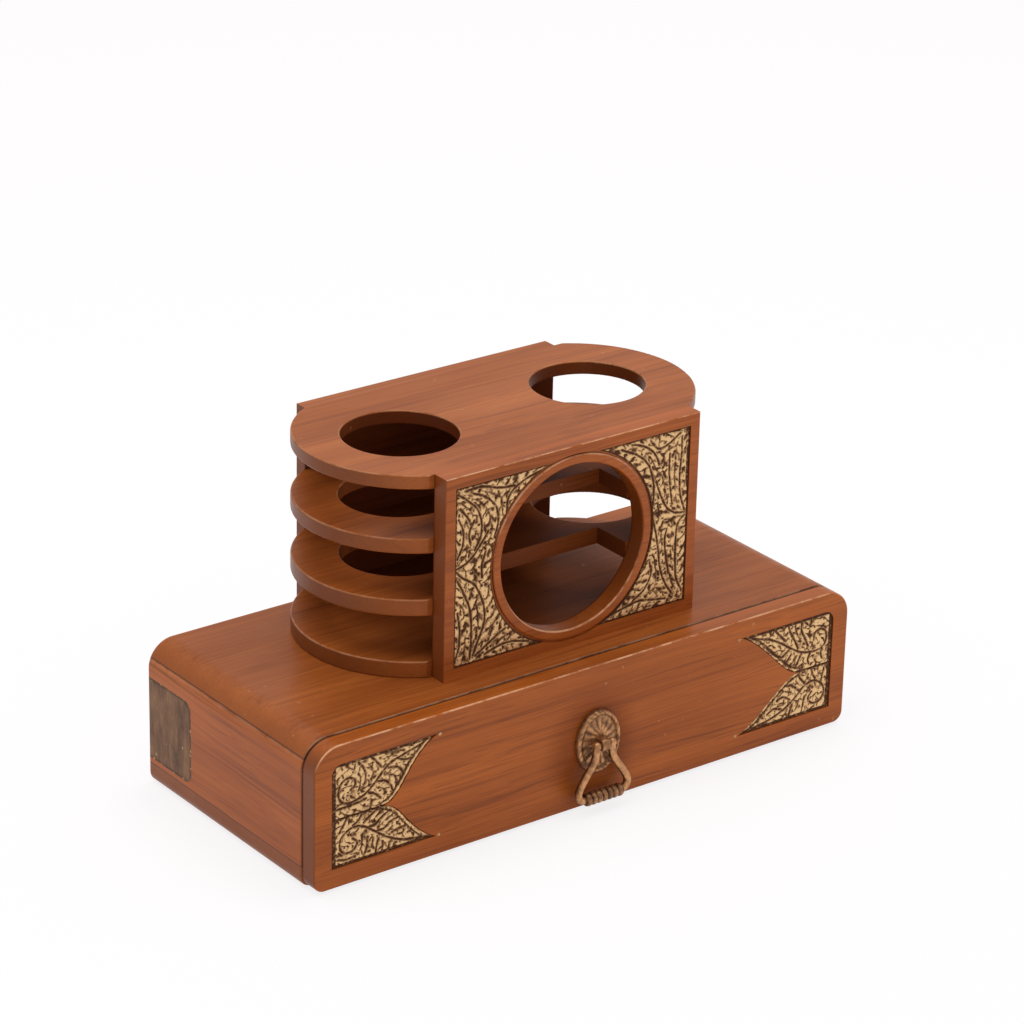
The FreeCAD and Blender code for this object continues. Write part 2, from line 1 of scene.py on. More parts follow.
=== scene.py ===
"""Looks of a wooden pen stand with a drawer, a drop pull and embossed brass inlays.

Laid out as an add-on: sizes and colours are properties, each piece or group of like pieces has an
operator, and the sidebar panel lists them. Lengths in the code are millimetres unless a name says metres.
"""

import json
import math

import bmesh
import bpy
import numpy as np
from mathutils import Matrix, Vector


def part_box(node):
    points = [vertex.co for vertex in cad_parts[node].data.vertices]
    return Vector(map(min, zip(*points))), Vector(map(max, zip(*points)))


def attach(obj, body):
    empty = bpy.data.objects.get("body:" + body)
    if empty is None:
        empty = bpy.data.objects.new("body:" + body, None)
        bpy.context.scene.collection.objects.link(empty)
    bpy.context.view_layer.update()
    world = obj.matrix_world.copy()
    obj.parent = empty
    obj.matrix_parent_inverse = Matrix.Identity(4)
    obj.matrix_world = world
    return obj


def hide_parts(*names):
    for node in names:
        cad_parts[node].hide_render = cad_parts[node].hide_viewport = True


bl_info = {
    "name": "Pen stand with drawer",
    "version": (1, 0, 0),
    "blender": (4, 5, 0),
    "location": "View3D > Sidebar > Pen stand",
    "description": "Dresses the pen stand's boards, brass inlays and drop pull, and sets its stage",
    "category": "Object",
}

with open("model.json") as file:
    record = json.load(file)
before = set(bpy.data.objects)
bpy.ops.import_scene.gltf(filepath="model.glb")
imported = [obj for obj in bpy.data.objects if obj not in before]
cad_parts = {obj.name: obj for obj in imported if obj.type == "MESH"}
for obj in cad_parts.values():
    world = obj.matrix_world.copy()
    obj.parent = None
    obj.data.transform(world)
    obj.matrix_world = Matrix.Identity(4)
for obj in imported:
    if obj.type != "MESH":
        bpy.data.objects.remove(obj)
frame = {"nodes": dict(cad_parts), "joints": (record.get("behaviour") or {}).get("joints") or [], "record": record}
NODES = frame["nodes"]
MOUNTS = {mount["name"]: mount for mount in frame["record"]["mounts"]}
JOINTS = {joint["name"]: joint for joint in frame["joints"]}
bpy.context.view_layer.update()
METRE = 0.001


def millimetres(metres):
    """A length in metres, as millimetres without the rounding noise of a mesh."""
    return round(metres / METRE, 3)


# Places taken from the frame, so that the looks follow the solids.
FRONT_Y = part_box("drawer_front")[0].y / METRE
FRONT_BACK_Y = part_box("drawer_front")[1].y / METRE
MOUTH_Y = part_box("case_top_board")[0].y / METRE
FRONT_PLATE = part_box("holder_front_plate")
BACK_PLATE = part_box("holder_back_plate")
END_X = millimetres(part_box("drawer_front")[1].x)
TOP_JOINT_Z = millimetres(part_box("case_top_board")[0].z)
FOOT_JOINT_Z = millimetres(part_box("case_bottom_board")[1].z)
SHELF_X = millimetres(sum(corner.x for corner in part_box("holder_floor_shelf")) / 2)
PLATE_FRONT_Y = FRONT_PLATE[0].y / METRE
FRONT_PLATE_THICKNESS = millimetres(FRONT_PLATE[1].y - FRONT_PLATE[0].y)
BACK_PLATE_THICKNESS = millimetres(BACK_PLATE[1].y - BACK_PLATE[0].y)
BACK_Y = millimetres(BACK_PLATE[1].y)
HOLDER_TOP_Z = millimetres(FRONT_PLATE[1].z)
WINDOW_X, WINDOW_Z = (millimetres(MOUNTS["window"]["pos_m"][axis]) for axis in (0, 2))
# How far a brass field reaches from the window's axis, and its foot and top.
FIELD_REACH = round(millimetres(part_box("window_inlay_right")[1].x) - WINDOW_X, 3)
FIELD_FOOT_Z, FIELD_TOP_Z = (millimetres(corner.z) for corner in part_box("window_inlay_right"))
PULL_X, PIVOT_Y, PULL_Z = (millimetres(place) for place in JOINTS["bail_swing"]["pos_m"])
PULL_HALF_WIDTH = round(millimetres(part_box("pull_backplate")[1].x) - PULL_X, 1)
PULL_HALF_HEIGHT = round(millimetres(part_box("pull_backplate")[1].z) - PULL_Z, 1)

# Sizes of the window's ring, and of the gap round a sheet in its recess.
WINDOW_RING_RADIUS = 37.5
GROOVE_WIDTH = 0.7
INLAY_GAP = 0.08
# About the middles of the two pen wells in the top shelf.
WELL_CENTRES = ((-43.3, 10.3), (46.3, 11.5))
# An embossed sheet keeps the first gap inside its pocket, and the second at a leaf's thin tip.
LEAF_GAP, LEAF_TIP_GAP = 0.1, 0.4
# A leaf's pocket, from its solid: distances in from the stand's end, then heights.
UPPER_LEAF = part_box("leaf_inlay_upper_right")
LOWER_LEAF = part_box("leaf_inlay_lower_right")
LEAF_END = round(END_X - millimetres(UPPER_LEAF[1].x) - INLAY_GAP, 3)
LEAF_TIP = round(END_X - millimetres(UPPER_LEAF[0].x) + LEAF_TIP_GAP, 3)
LEAF_FOOT = round(millimetres(LOWER_LEAF[0].z) - INLAY_GAP, 3)
LEAF_SPLIT = round(millimetres(UPPER_LEAF[0].z) - INLAY_GAP, 3)
LEAF_TOP = round(millimetres(UPPER_LEAF[1].z) + INLAY_GAP, 3)
LEAF_CORNER_RADIUS = 4.5
# Its curved edge runs from the waist to the tip. Of its two middle poles the first lies past the waist by
# the belly's reach and rise, and the second short of the tip by the neck's reach and drop.
LEAF_WAIST = {"left": 31.0, "right": 25.0}
LEAF_BELLY_REACH, LEAF_BELLY_RISE = 8.5, 1.5
LEAF_NECK_REACH, LEAF_NECK_DROP = 13.5, 6.5
# About how wide a leaf and a window field are, for the number of their grid points.
LEAF_WIDTH, FIELD_WIDTH = 22.0, 44.0
# Depths behind the wood's face of an embossed sheet's lowest places and of its back.
SHEET_FRONT_DEPTH, SHEET_BACK_DEPTH = 0.65, 1.42
# How much of the rim along a leaf's curved edge was rubbed back to gold.
LEAF_RIM = {
    ("left", "upper"): 0.95,
    ("left", "lower"): 0.55,
    ("right", "upper"): 0.5,
    ("right", "lower"): 0.6,
}

# The bail, about its pivot: its eyes, its arms across and along Y, its pins and its beaded grip.
BAIL_EYE_X, BAIL_EYE_RADIUS, BAIL_EYE_HALF_WIDTH = 3.7, 1.8, 1.5
BAIL_ARM_WIDE, BAIL_ARM_THICK = 1.5, 1.3
BAIL_PIN_START, BAIL_PIN_END, BAIL_PIN_RADIUS = 0.35, 3.0, 1.0
BAIL_DROP = 21.35
GRIP_HALF_LENGTH, GRIP_RADIUS, GRIP_BEAD_RISE = 8.75, 2.0, 0.6

# Lamps as name, place and diameter in metres, and factor on the set power.
LAMPS = (("key_lamp", (-0.5, 0.15, 1.35), 0.9, 0.92),
         ("top_lamp", (0.45, 0.1, 1.5), 1.0, 1.22))
LAMP_TARGET = (0.0, 0.0, 0.06)
# Half the floor's side in metres, its glow's strength, and the glow's share in what the camera sees.
FLOOR_HALF_SIZE = 6.0
FLOOR_GLOW, FLOOR_GLOW_SHARE = 1.04, 0.80
# The camera's place in metres, and its azimuth from the front, elevation and roll in degrees.
CAMERA_PLACE = (-0.8612, -1.13297, 0.72059)
CAMERA_ANGLES = (-37.316, 23.490, 1.295)


# ---------------------------------------------------------------------------- sizes and colours
class PenStandWood(bpy.types.PropertyGroup):
    """Lacquered sheesham and the plain wood inside."""

    light: bpy.props.StringProperty(name="Light wood", default="#B4632A",
                                    description="sRGB colour of the pale growth bands")
    dark: bpy.props.StringProperty(name="Dark wood", default="#8F481B",
                                   description="sRGB colour of the dark growth bands")
    streak: bpy.props.StringProperty(name="Streaks", default="#52230E",
                                     description="sRGB colour of the pores and dark streaks")
    # Also the colour of the painted highlight along the upper arrises and of the pale scuffs.
    worn: bpy.props.StringProperty(name="Worn arris", default="#DDA57C",
                                   description="sRGB colour of the rubbed corners of the boards")
    band: bpy.props.FloatProperty(name="Growth band", default=5.0, min=1.0, max=20.0,
                                  description="Width of the growth bands in millimetres")
    gloss: bpy.props.FloatProperty(name="Lacquer", default=0.10, min=0.0, max=1.0, subtype="FACTOR",
                                   description="How much clear lacquer lies on the wood")


class PenStandBrass(bpy.types.PropertyGroup):
    """Embossed brass sheet."""

    gold: bpy.props.StringProperty(name="Gold", default="#EBC28C",
                                   description="sRGB colour of the rubbed, raised brass")
    patina: bpy.props.StringProperty(name="Patina", default="#4E2C16",
                                     description="sRGB colour of the darkened hollows")
    relief: bpy.props.FloatProperty(name="Relief", default=0.55, min=0.1, max=1.2,
                                    description="Height of the embossing in millimetres")
    vein_pitch: bpy.props.FloatProperty(name="Vein pitch", default=4.2, min=0.8, max=5.0,
                                        description="Spacing of the side veins in millimetres")
    pixel: bpy.props.FloatProperty(name="Mesh step", default=0.22, min=0.1, max=1.0,
                                   description="Step of the embossed surface's grid in millimetres")


class PenStandPull(bpy.types.PropertyGroup):
    """Cast antique brass drop pull."""

    metal: bpy.props.StringProperty(name="Metal", default="#CE9563",
                                    description="sRGB colour of the worn metal")
    aged: bpy.props.StringProperty(name="Aged", default="#48291B",
                                   description="sRGB colour of the aged metal in the hollows")
    rim_notches: bpy.props.IntProperty(name="Rim notches", default=30, min=8, max=90,
                                       description="Slanted notches round the oval plate's rim")
    beads: bpy.props.IntProperty(name="Grip beads", default=7, min=3, max=12,
                                 description="Beads along the bail's grip")


class PenStandStage(bpy.types.PropertyGroup):
    """Floor, lamps and camera."""

    floor: bpy.props.StringProperty(name="Floor", default="#FDFBFC", description="sRGB colour of the floor")
    sky: bpy.props.FloatProperty(name="Sky", default=0.68, min=0.0, max=2.0,
                                 description="Strength of the white surroundings")
    key: bpy.props.FloatProperty(name="Key lamp", default=4.5, min=0.0, max=200.0,
                                 description="Power in watts that both large lamps are set from")
    lens: bpy.props.FloatProperty(name="Lens", default=142.96, min=20.0, max=400.0,
                                  description="Focal length in millimetres on a 36 mm frame")


# ---------------------------------------------------------------------------- materials
def linear(hex_colour):
    """An sRGB hex colour as linear red, green, blue and alpha."""
    values = [int(hex_colour[i:i + 2], 16) / 255.0 for i in (1, 3, 5)]
    return tuple([v / 12.92 if v <= 0.04045 else ((v + 0.055) / 1.055) ** 2.4 for v in values] + [1.0])


def add(tree, kind, settings=None, values=None, links=None):
    """Adds one shader node, sets its properties and unlinked inputs, and links its inputs."""
    node = tree.nodes.new("ShaderNode" + kind)
    for name, value in (settings or {}).items():
        setattr(node, name, value)
    for name, value in (values or {}).items():
        node.inputs[name].default_value = value
    for name, socket in (links or {}).items():
        tree.links.new(socket, node.inputs[name])
    return node


def ramp(tree, factor, stops):
    """Sets a colour ramp's stops from (place, linear colour) pairs."""
    node = add(tree, "ValToRGB", links={"Fac": factor})
    elements = node.color_ramp.elements
    while len(elements) < len(stops):
        elements.new(0.5)
    for element, (place, colour) in zip(elements, stops):
        element.position = place
        element.color = colour
    return node.outputs["Color"]


def blank(name):
    """A new material with an empty tree."""
    material = bpy.data.materials.new(name)
    material.use_nodes = True
    material.node_tree.nodes.clear()
    return material, material.node_tree


# Dirt in a glue line and painted shade in the drawer's seam, painted shade inside the holder and a painted shadow
# with handling dirt round the pull, a tarnished sheet, and zinc plating.
DIRT_AND_SEAM_SHADE = "#2A1109"
PAINTED_SHADE_AND_GRIME = "#4E1E0F"
TARNISH = ("#563D2D", "#79573F", "#906C4B")
SHEET_GRIME = "#33221A"
SHEET_FLECK = "#C99A5C"
ZINC = ("#9C9E9F", "#C9CBCC")

# Turns that bring a board's grain onto X.
TURNS = {"X": (0.0, 0.0, 0.0), "Y": (0.0, 0.0, math.pi / 2), "Z": (0.0, math.pi / 2, 0.0)}


def stretched_noise(tree, vector, scale, detail=2.0, roughness=0.5, place=(0.0, 0.0, 0.0)):
    """Noise with its own scale, per millimetre, along each axis of the board."""
    shrunk = add(tree, "Mapping", values={"Scale": scale, "Location": place}, links={"Vector": vector})
    return add(tree, "TexNoise", values={"Scale": 1.0, "Detail": detail, "Roughness": roughness},
               links={"Vector": shrunk.outputs["Vector"]}).outputs["Fac"]


def mask(tree, value, low, high, top=1.0):
    """0 below low, the top value above high, and a straight slope between."""
    return add(tree, "MapRange", values={"From Min": low, "From Max": high, "To Min": 0.0, "To Max": top},
               links={"Value": value}).outputs["Result"]


def arithmetic(tree, operation, first, second=None):
    """One Math node on two sockets or numbers."""
    values, links = {}, {}
    for number, value in enumerate((first, second)):
        if isinstance(value, (int, float)):
            values[number] = value
        elif value is not None:
            links[number] = value
    return add(tree, "Math", {"operation": operation}, values, links).outputs[0]


def tint(tree, colour, other, factor):
    """Mixes a colour socket towards another colour, fixed or a socket."""
    if isinstance(other, tuple):
        mixed = add(tree, "Mix", {"data_type": "RGBA"}, {"B": other}, {"Factor": factor, "A": colour})
    else:
        mixed = add(tree, "Mix", {"data_type": "RGBA"}, {}, {"Factor": factor, "A": colour, "B": other})
    return mixed.outputs["Result"]


def exposure(tree, exposed):
    """How far each place is from the hollows: the piece's "relief" attribute, or one value for all of it."""
    if exposed is None:
        return add(tree, "Attribute", {"attribute_name": "relief"}).outputs["Fac"]
    level = add(tree, "Value").outputs["Value"]
    level.default_value = exposed
    return level


def surface(tree, colour, height, strength, distance, values=None, links=None):
    """Ends a tree in one Principled shader, with a bump of the given distance in metres."""
    bump = add(tree, "Bump", values={"Strength": strength, "Distance": distance}, links={"Height": height})
    sockets = {"Base Color": colour, "Normal": bump.outputs["Normal"]}
    sockets.update(links or {})
    shader = add(tree, "BsdfPrincipled", values=values, links=sockets)
    add(tree, "OutputMaterial", links={"Surface": shader.outputs["BSDF"]})
    return shader


def dirt_and_seam_shade_line(tree, place, axis, where, half):
    """Strength of a dark line that crosses an axis at a place, with its half width: dirt in a glue line, and
    painted shade in the drawer's seam.
    """
    off = arithmetic(tree, "ABSOLUTE", arithmetic(tree, "SUBTRACT", place[axis], where * METRE))
    line = arithmetic(tree, "SUBTRACT", 1.0, mask(tree, off, 0.4 * half * METRE, 1.6 * half * METRE))
    return arithmetic(tree, "MULTIPLY", line, 0.75)


def shade_and_grime_strength(tree, place, centre, plain_at, dark_at, strength):
    """Strength of a painted shade by the distance from a centre, line or plane: none at plain_at, all of it at
    dark_at, and none on the holder's top. Round the pull it is a painted shadow with handling dirt."""
    total = None
    for axis, where in zip("XYZ", centre):
        if where is not None:
            off = arithmetic(tree, "SUBTRACT", place[axis], where * METRE)
            square = arithmetic(tree, "MULTIPLY", off, off)
            total = square if total is None else arithmetic(tree, "ADD", total, square)
    shade = add(tree, "MapRange", {"interpolation_type": "SMOOTHSTEP"},
                {"From Min": plain_at * METRE, "From Max": dark_at * METRE,
                 "To Min": 0.0, "To Max": strength},
                {"Value": arithmetic(tree, "SQRT", total)}).outputs["Result"]
    below_top = arithmetic(tree, "LESS_THAN", place["Z"], (HOLDER_TOP_Z - 0.6) * METRE)
    return arithmetic(tree, "MULTIPLY", shade, below_top)


def rubbed_and_highlit_arris(tree, coords, normal, face, wear):
    """Strength of the rubbing and painted highlight on upper arrises: the normal's share along the face axis
    times the rest of it, greatest half way round a rounded edge, on arrises that face up, broken up by noise."""
    share = normal[face]
    square = arithmetic(tree, "MULTIPLY", share, share)
    rest = arithmetic(tree, "SQRT", arithmetic(tree, "SUBTRACT", 1.0, square))
    arris = arithmetic(tree, "MULTIPLY", arithmetic(tree, "ABSOLUTE", share), rest)
    arris = arithmetic(tree, "MULTIPLY", mask(tree, arris, 0.12, 0.38), mask(tree, normal["Z"], 0.15, 0.45))
    patchy = add(tree, "TexNoise", values={"Scale": 130.0, "Detail": 4.0, "Roughness": 0.65},
                 links={"Vector": coords}).outputs["Fac"]
    return arithmetic(tree, "MULTIPLY", arris, mask(tree, patchy, 0.34, 0.58, wear))


def sheesham(name, wood, grain, shift, tone=1.0, lacquer=None, face="Z", joints=(), wear=0.3, shades=(),
             end_grain=0.62):
    """Sheesham, sawn, sanded and brushed with semi-gloss lacquer.

    The eye gets warm brown boards with long, slightly wavy darker streaks along the grain, fine pores,
    darker end grain, a soft clear shine, upper corners rubbed pale with a painted highlight along them,
    painted shade in the drawer's seam and inside the holder, and a painted shadow with dirt round the pull.
    The plain drawer boards and the beech dowels are drawn with the same grain, in a paler tone and without
    lacquer.

    grain is the axis the grain runs along, and shift moves the pattern in millimetres, so that no two boards
    match. tone scales the wood's colour, as one number or as red, green and blue. lacquer replaces the
    wood's own share of clear lacquer. face is the axis of the board's main faces, round which its upper
    arrises run, rubbed pale and with a painted highlight, and wear and end_grain say how strongly those and
    the end grain show. joints are (axis, place, half width in millimetres) of dark lines: dirt in glue lines,
    and painted shade in the drawer's seam. shades are (centre, plain_at, dark_at, strength) of painted shade
    inside the holder, and of the painted shadow and dirt from fingers round the pull: centre is three places
    in millimetres, None where it doesn't matter, and the wood goes from plain at one distance from it to
    dark at the other, whichever of the two is greater.
    """
    material, tree = blank(name)
    source = add(tree, "TexCoord").outputs
    coords = source["Object"]
    board = add(tree, "Mapping", values={"Rotation": TURNS[grain], "Scale": (1000, 1000, 1000),
                                         "Location": shift}, links={"Vector": coords}).outputs["Vector"]
    # The grain wanders about 2 mm over 120 mm along the board.
    long = add(tree, "Mapping", values={"Scale": (0.008, 0.04, 0.04)}, links={"Vector": board})
    wander = add(tree, "TexNoise", values={"Scale": 1.0, "Detail": 2.0, "Roughness": 0.5},
                 links={"Vector": long.outputs["Vector"]})
    moved = add(tree, "VectorMath", {"operation": "MULTIPLY_ADD"}, {1: (0.0, 8.0, 8.0)},
                {0: wander.outputs["Color"], 2: board}).outputs[0]
    # Growth bands, one to two band widths across and 300 mm long, inside broad clouds of tone.
    wide = 0.5 / wood.band
    bands = stretched_noise(tree, moved, (0.003, wide, wide), 3.0, 0.6)
    cloud = stretched_noise(tree, moved, (0.012, 0.035, 0.035), 2.0, 0.5, (3.7, 1.3, 8.1))
    # Fine fibres 0.8 mm across and 100 mm long.
    fibre = stretched_noise(tree, moved, (0.010, 1.25, 1.25), 4.0, 0.6)
    # Pores: real ones are 0.2 mm across, drawn here 0.5 mm across and 45 mm long so that they show.
    pores = stretched_noise(tree, moved, (0.022, 2.1, 2.1), 2.0, 0.5, (5.0, 2.0, 9.0))
    # Dark streaks 2 mm across and 150 mm long.
    streaks = stretched_noise(tree, moved, (0.007, 0.50, 0.50), 3.0, 0.6, (1.0, 7.0, 4.0))
    blend = arithmetic(tree, "ADD", arithmetic(tree, "MULTIPLY", bands, 0.40),
                       arithmetic(tree, "MULTIPLY", cloud, 0.30))
    blend = arithmetic(tree, "ADD", blend, arithmetic(tree, "MULTIPLY", fibre, 0.30))
    tones = tone if isinstance(tone, tuple) else (tone, tone, tone)
    dark, light = (tuple(t * c for t, c in zip(tones, linear(colour))) + (1.0,)
                   for colour in (wood.dark, wood.light))
    colour = ramp(tree, blend, [(0.36, dark), (0.62, light)])
    colour = tint(tree, colour, linear(wood.streak), mask(tree, streaks, 0.54, 0.76, 0.52))
    colour = tint(tree, colour, linear(wood.streak), mask(tree, pores, 0.54, 0.70, 0.32))
    # End grain shows the streaks less, drinks more lacquer and looks darker.
    normal = add(tree, "SeparateXYZ", links={"Vector": source["Normal"]}).outputs
    end_on = arithmetic(tree, "ABSOLUTE", normal[grain])
    mean = tuple(0.55 * d + 0.45 * l for d, l in zip(dark, light))
    colour = tint(tree, colour, mean, mask(tree, end_on, 0.15, 0.75, 0.65))
    end_colour = tuple(0.25 * c for c in dark[:3]) + (1.0,)
    colour = tint(tree, colour, end_colour, mask(tree, end_on, 0.45, 0.95, end_grain))
    place = add(tree, "SeparateXYZ", links={"Vector": coords}).outputs
    # Dark joint lines: dirt in glue lines, and painted shade along the drawer's seam.
    for axis, where, half in joints:
        colour = tint(tree, colour, linear(DIRT_AND_SEAM_SHADE), dirt_and_seam_shade_line(tree, place, axis, where, half))
    # Painted shade and handling dirt also turn down the lacquer's specular and coat by their share.
    shine = 1.0
    for centre, plain_at, dark_at, strength in shades:
        shade = shade_and_grime_strength(tree, place, centre, plain_at, dark_at, strength)
        colour = tint(tree, colour, linear(PAINTED_SHADE_AND_GRIME), shade)
        shine = arithmetic(tree, "MULTIPLY", arithmetic(tree, "SUBTRACT", 1.0, shade), shine)
    # Upper arrises rubbed pale, with a painted highlight along them.
    colour = tint(tree, colour, linear(wood.worn), rubbed_and_highlit_arris(tree, coords, normal, face, wear))
    # Pale scuffs and specks, a few to a hand's breadth.
    speck = add(tree, "TexNoise", values={"Scale": 330.0, "Detail": 1.0},
                links={"Vector": coords}).outputs["Fac"]
    colour = tint(tree, colour, linear(wood.worn), mask(tree, speck, 0.77, 0.81, 0.22))
    relief = arithmetic(tree, "SUBTRACT", fibre, mask(tree, pores, 0.57, 0.72, 0.6))
    roughness = add(tree, "MapRange", links={"Value": cloud},
                    values={"From Min": 0.3, "From Max": 0.7, "To Min": 0.46, "To Max": 0.36})
    shader = surface(tree, colour, relief, 0.12, 0.00012,
                     {"IOR": 1.5, "Specular IOR Level": 0.18, "Coat Roughness": 0.18,
                      "Coat Weight": wood.gloss if lacquer is None else lacquer},
                     {"Roughness": roughness.outputs["Result"]})
    if shades:
        for socket in ("Specular IOR Level", "Coat Weight"):
            tree.links.new(arithmetic(tree, "MULTIPLY", shine, shader.inputs[socket].default_value),
                           shader.inputs[socket])
    return material


def embossed_brass(name, brass, exposed=None):
    """Thin brass sheet, stamped over a die, blackened and rubbed back on the high places.

    The eye gets pale gold leaves with small soft gleams, dark brown lines and hollows between them, and
    a thin scatter of tarnish. High places are gold and low ones dark, unless exposed gives one height for
    the whole piece.
    """
    material, tree = blank(name)
    coords = add(tree, "TexCoord").outputs["Object"]
    relief = exposure(tree, exposed)
    # Tarnish in flecks about 1 mm across, and broad patches about 15 mm across, rubbed more or less.
    fleck = add(tree, "TexNoise", values={"Scale": 900.0, "Detail": 4.0, "Roughness": 0.7},
                links={"Vector": coords}).outputs["Fac"]
    patch = add(tree, "TexNoise", values={"Scale": 70.0, "Detail": 2.0},
                links={"Vector": coords}).outputs["Fac"]
    spread = add(tree, "MapRange", values={"From Min": 0.3, "From Max": 0.7, "To Min": -0.26, "To Max": 0.22},
                 links={"Value": fleck}).outputs["Result"]
    tarnish = arithmetic(tree, "ADD", spread, mask(tree, patch, 0.35, 0.65, -0.14))
    rubbed = arithmetic(tree, "ADD", relief, tarnish)
    gold = linear(brass.gold)
    patina = linear(brass.patina)
    # Half rubbed brass is nearer the patina and a little redder.
    redder = (1.08, 0.95, 0.9)
    middle = tuple(m * (0.36 * g + 0.64 * p) for g, p, m in zip(gold, patina, redder)) + (1.0,)
    colour = ramp(tree, rubbed, [(0.14, patina), (0.42, middle), (0.70, gold)])
    metallic = add(tree, "MapRange", links={"Value": rubbed},
                   values={"From Min": 0.25, "From Max": 0.7, "To Min": 0.12, "To Max": 0.65})
    roughness = add(tree, "MapRange", links={"Value": rubbed},
                    values={"From Min": 0.25, "From Max": 0.8, "To Min": 0.65, "To Max": 0.45})
    surface(tree, colour, fleck, 0.25, 0.00008, {"Specular IOR Level": 0.15},
            {"Metallic": metallic.outputs["Result"], "Roughness": roughness.outputs["Result"]})
    return material


def aged_sheet(name, low, high, outer_x):
    """Plain brass sheet let into the wood, left to tarnish brown under the lacquer.

    The eye gets a dull dark brown metal with cloudy tarnish, drawn out upright as it was rubbed, and a few
    gold flecks where its edges and its corner wear. low and high are the corners of its box in metres, and
    outer_x is the face of that box on the stand's side.
    """
    material, tree = blank(name)
    coords = add(tree, "TexCoord").outputs["Object"]
    upright = add(tree, "Mapping", values={"Scale": (1.0, 1.0, 0.35)}, links={"Vector": coords})
    cloud = add(tree, "TexNoise", values={"Scale": 240.0, "Detail": 5.0, "Roughness": 0.65},
                links={"Vector": upright.outputs["Vector"]}).outputs["Fac"]
    colour = ramp(tree, cloud, [(at, linear(brown)) for at, brown in zip((0.30, 0.52, 0.74), TARNISH)])
    split = add(tree, "SeparateXYZ", links={"Vector": coords}).outputs

    def off(axis, where):
        return arithmetic(tree, "ABSOLUTE", arithmetic(tree, "SUBTRACT", split[axis], where))

    # Close to a free edge or to the corner the sheet is grimy, fading out over 1.6 mm, and rubbed through
    # in places.
    inside = arithmetic(tree, "MAXIMUM", off("X", outer_x), off("Y", high.y))
    for axis, where in (("X", low.x + high.x - outer_x), ("Y", low.y), ("Z", low.z), ("Z", high.z)):
        inside = arithmetic(tree, "MINIMUM", inside, off(axis, where))
    rim = arithmetic(tree, "SUBTRACT", 1.0, mask(tree, inside, 0.0002, 0.0016))
    colour = tint(tree, colour, linear(SHEET_GRIME), arithmetic(tree, "MULTIPLY", rim, 0.6))
    speck = add(tree, "TexNoise", values={"Scale": 420.0, "Detail": 3.0, "Roughness": 0.6},
                links={"Vector": coords}).outputs["Fac"]
    worn = arithmetic(tree, "ADD", speck, arithmetic(tree, "MULTIPLY", rim, 0.12))
    colour = tint(tree, colour, linear(SHEET_FLECK), mask(tree, worn, 0.68, 0.74, 0.85))
    surface(tree, colour, cloud, 0.2, 0.0001, {"Metallic": 0.5, "Roughness": 0.5, "Specular IOR Level": 0.2})
    return material


def antique_brass(name, pull, exposed=None):
    """Sand-cast brass with a brown antique finish, handled until its edges wear bright.

    The eye gets a coppery brown metal that is almost black in the hollows and warm and bright on rims,
    beads and corners, with a faint cast grain. Exposed places are bright and hollows dark, unless exposed
    gives one value for the whole piece.
    """
    material, tree = blank(name)
    coords = add(tree, "TexCoord").outputs["Object"]
    # Cast grain about 0.4 mm across, under stains about 2.5 mm across.
    sand = add(tree, "TexNoise", values={"Scale": 2400.0, "Detail": 3.0},
               links={"Vector": coords}).outputs["Fac"]
    stain = add(tree, "TexNoise", values={"Scale": 420.0, "Detail": 4.0, "Roughness": 0.6},
                links={"Vector": coords}).outputs["Fac"]
    uneven = add(tree, "MapRange", values={"From Min": 0.3, "From Max": 0.7, "To Min": -0.30, "To Max": 0.30},
                 links={"Value": stain}).outputs["Result"]
    worn = arithmetic(tree, "ADD", exposure(tree, exposed), uneven)
    metal = linear(pull.metal)
    aged = linear(pull.aged)
    middle = tuple(0.42 * m + 0.58 * a for m, a in zip(metal, aged))
    colour = ramp(tree, worn, [(0.15, aged), (0.55, middle), (0.95, metal)])
    roughness = add(tree, "MapRange", links={"Value": worn},
                    values={"From Min": 0.1, "From Max": 0.9, "To Min": 0.6, "To Max": 0.28})
    surface(tree, colour, sand, 0.3, 0.00005, {"Metallic": 0.7}, {"Roughness": roughness.outputs["Result"]})
    return material


def zinc_steel(name):
    """Turned mild steel with bright zinc plating.

    The eye gets a cool light grey metal with faint cloudy spangle.
    """
    material, tree = blank(name)
    coords = add(tree, "TexCoord").outputs["Object"]
    spangle = add(tree, "TexNoise", values={"Scale": 700.0, "Detail": 3.0},
                  links={"Vector": coords}).outputs["Fac"]
    colour = ramp(tree, spangle, [(0.3, linear(ZINC[0])), (0.7, linear(ZINC[1]))])
    roughness = add(tree, "MapRange", links={"Value": spangle},
                    values={"From Min": 0.0, "From Max": 1.0, "To Min": 0.28, "To Max": 0.5})
    surface(tree, colour, spangle, 0.1, 0.00004, {"Metallic": 1.0},
            {"Roughness": roughness.outputs["Result"]})
    return material


def give(node, material):
    """A CAD node keeps its mesh and gets one material."""
    target = NODES[node]
    target.data.materials.clear()
    target.data.materials.append(material)


# ---------------------------------------------------------------------------- surfaces
def grid_quads(rows, columns, wrap_rows=False, wrap_columns=False):
    """Corner numbers of the quads of a rows by columns grid of points, wrapped round where asked."""
    last_row = rows if wrap_rows else rows - 1
    last_column = columns if wrap_columns else columns - 1
    i, j = np.meshgrid(np.arange(last_row), np.arange(last_column), indexing="ij")
    next_i = (i + 1) % rows
    next_j = (j + 1) % columns
    corners = [i * columns + j, next_i * columns + j, next_i * columns + next_j, i * columns + next_j]
    return np.stack(corners, axis=-1).reshape(-1, 4)


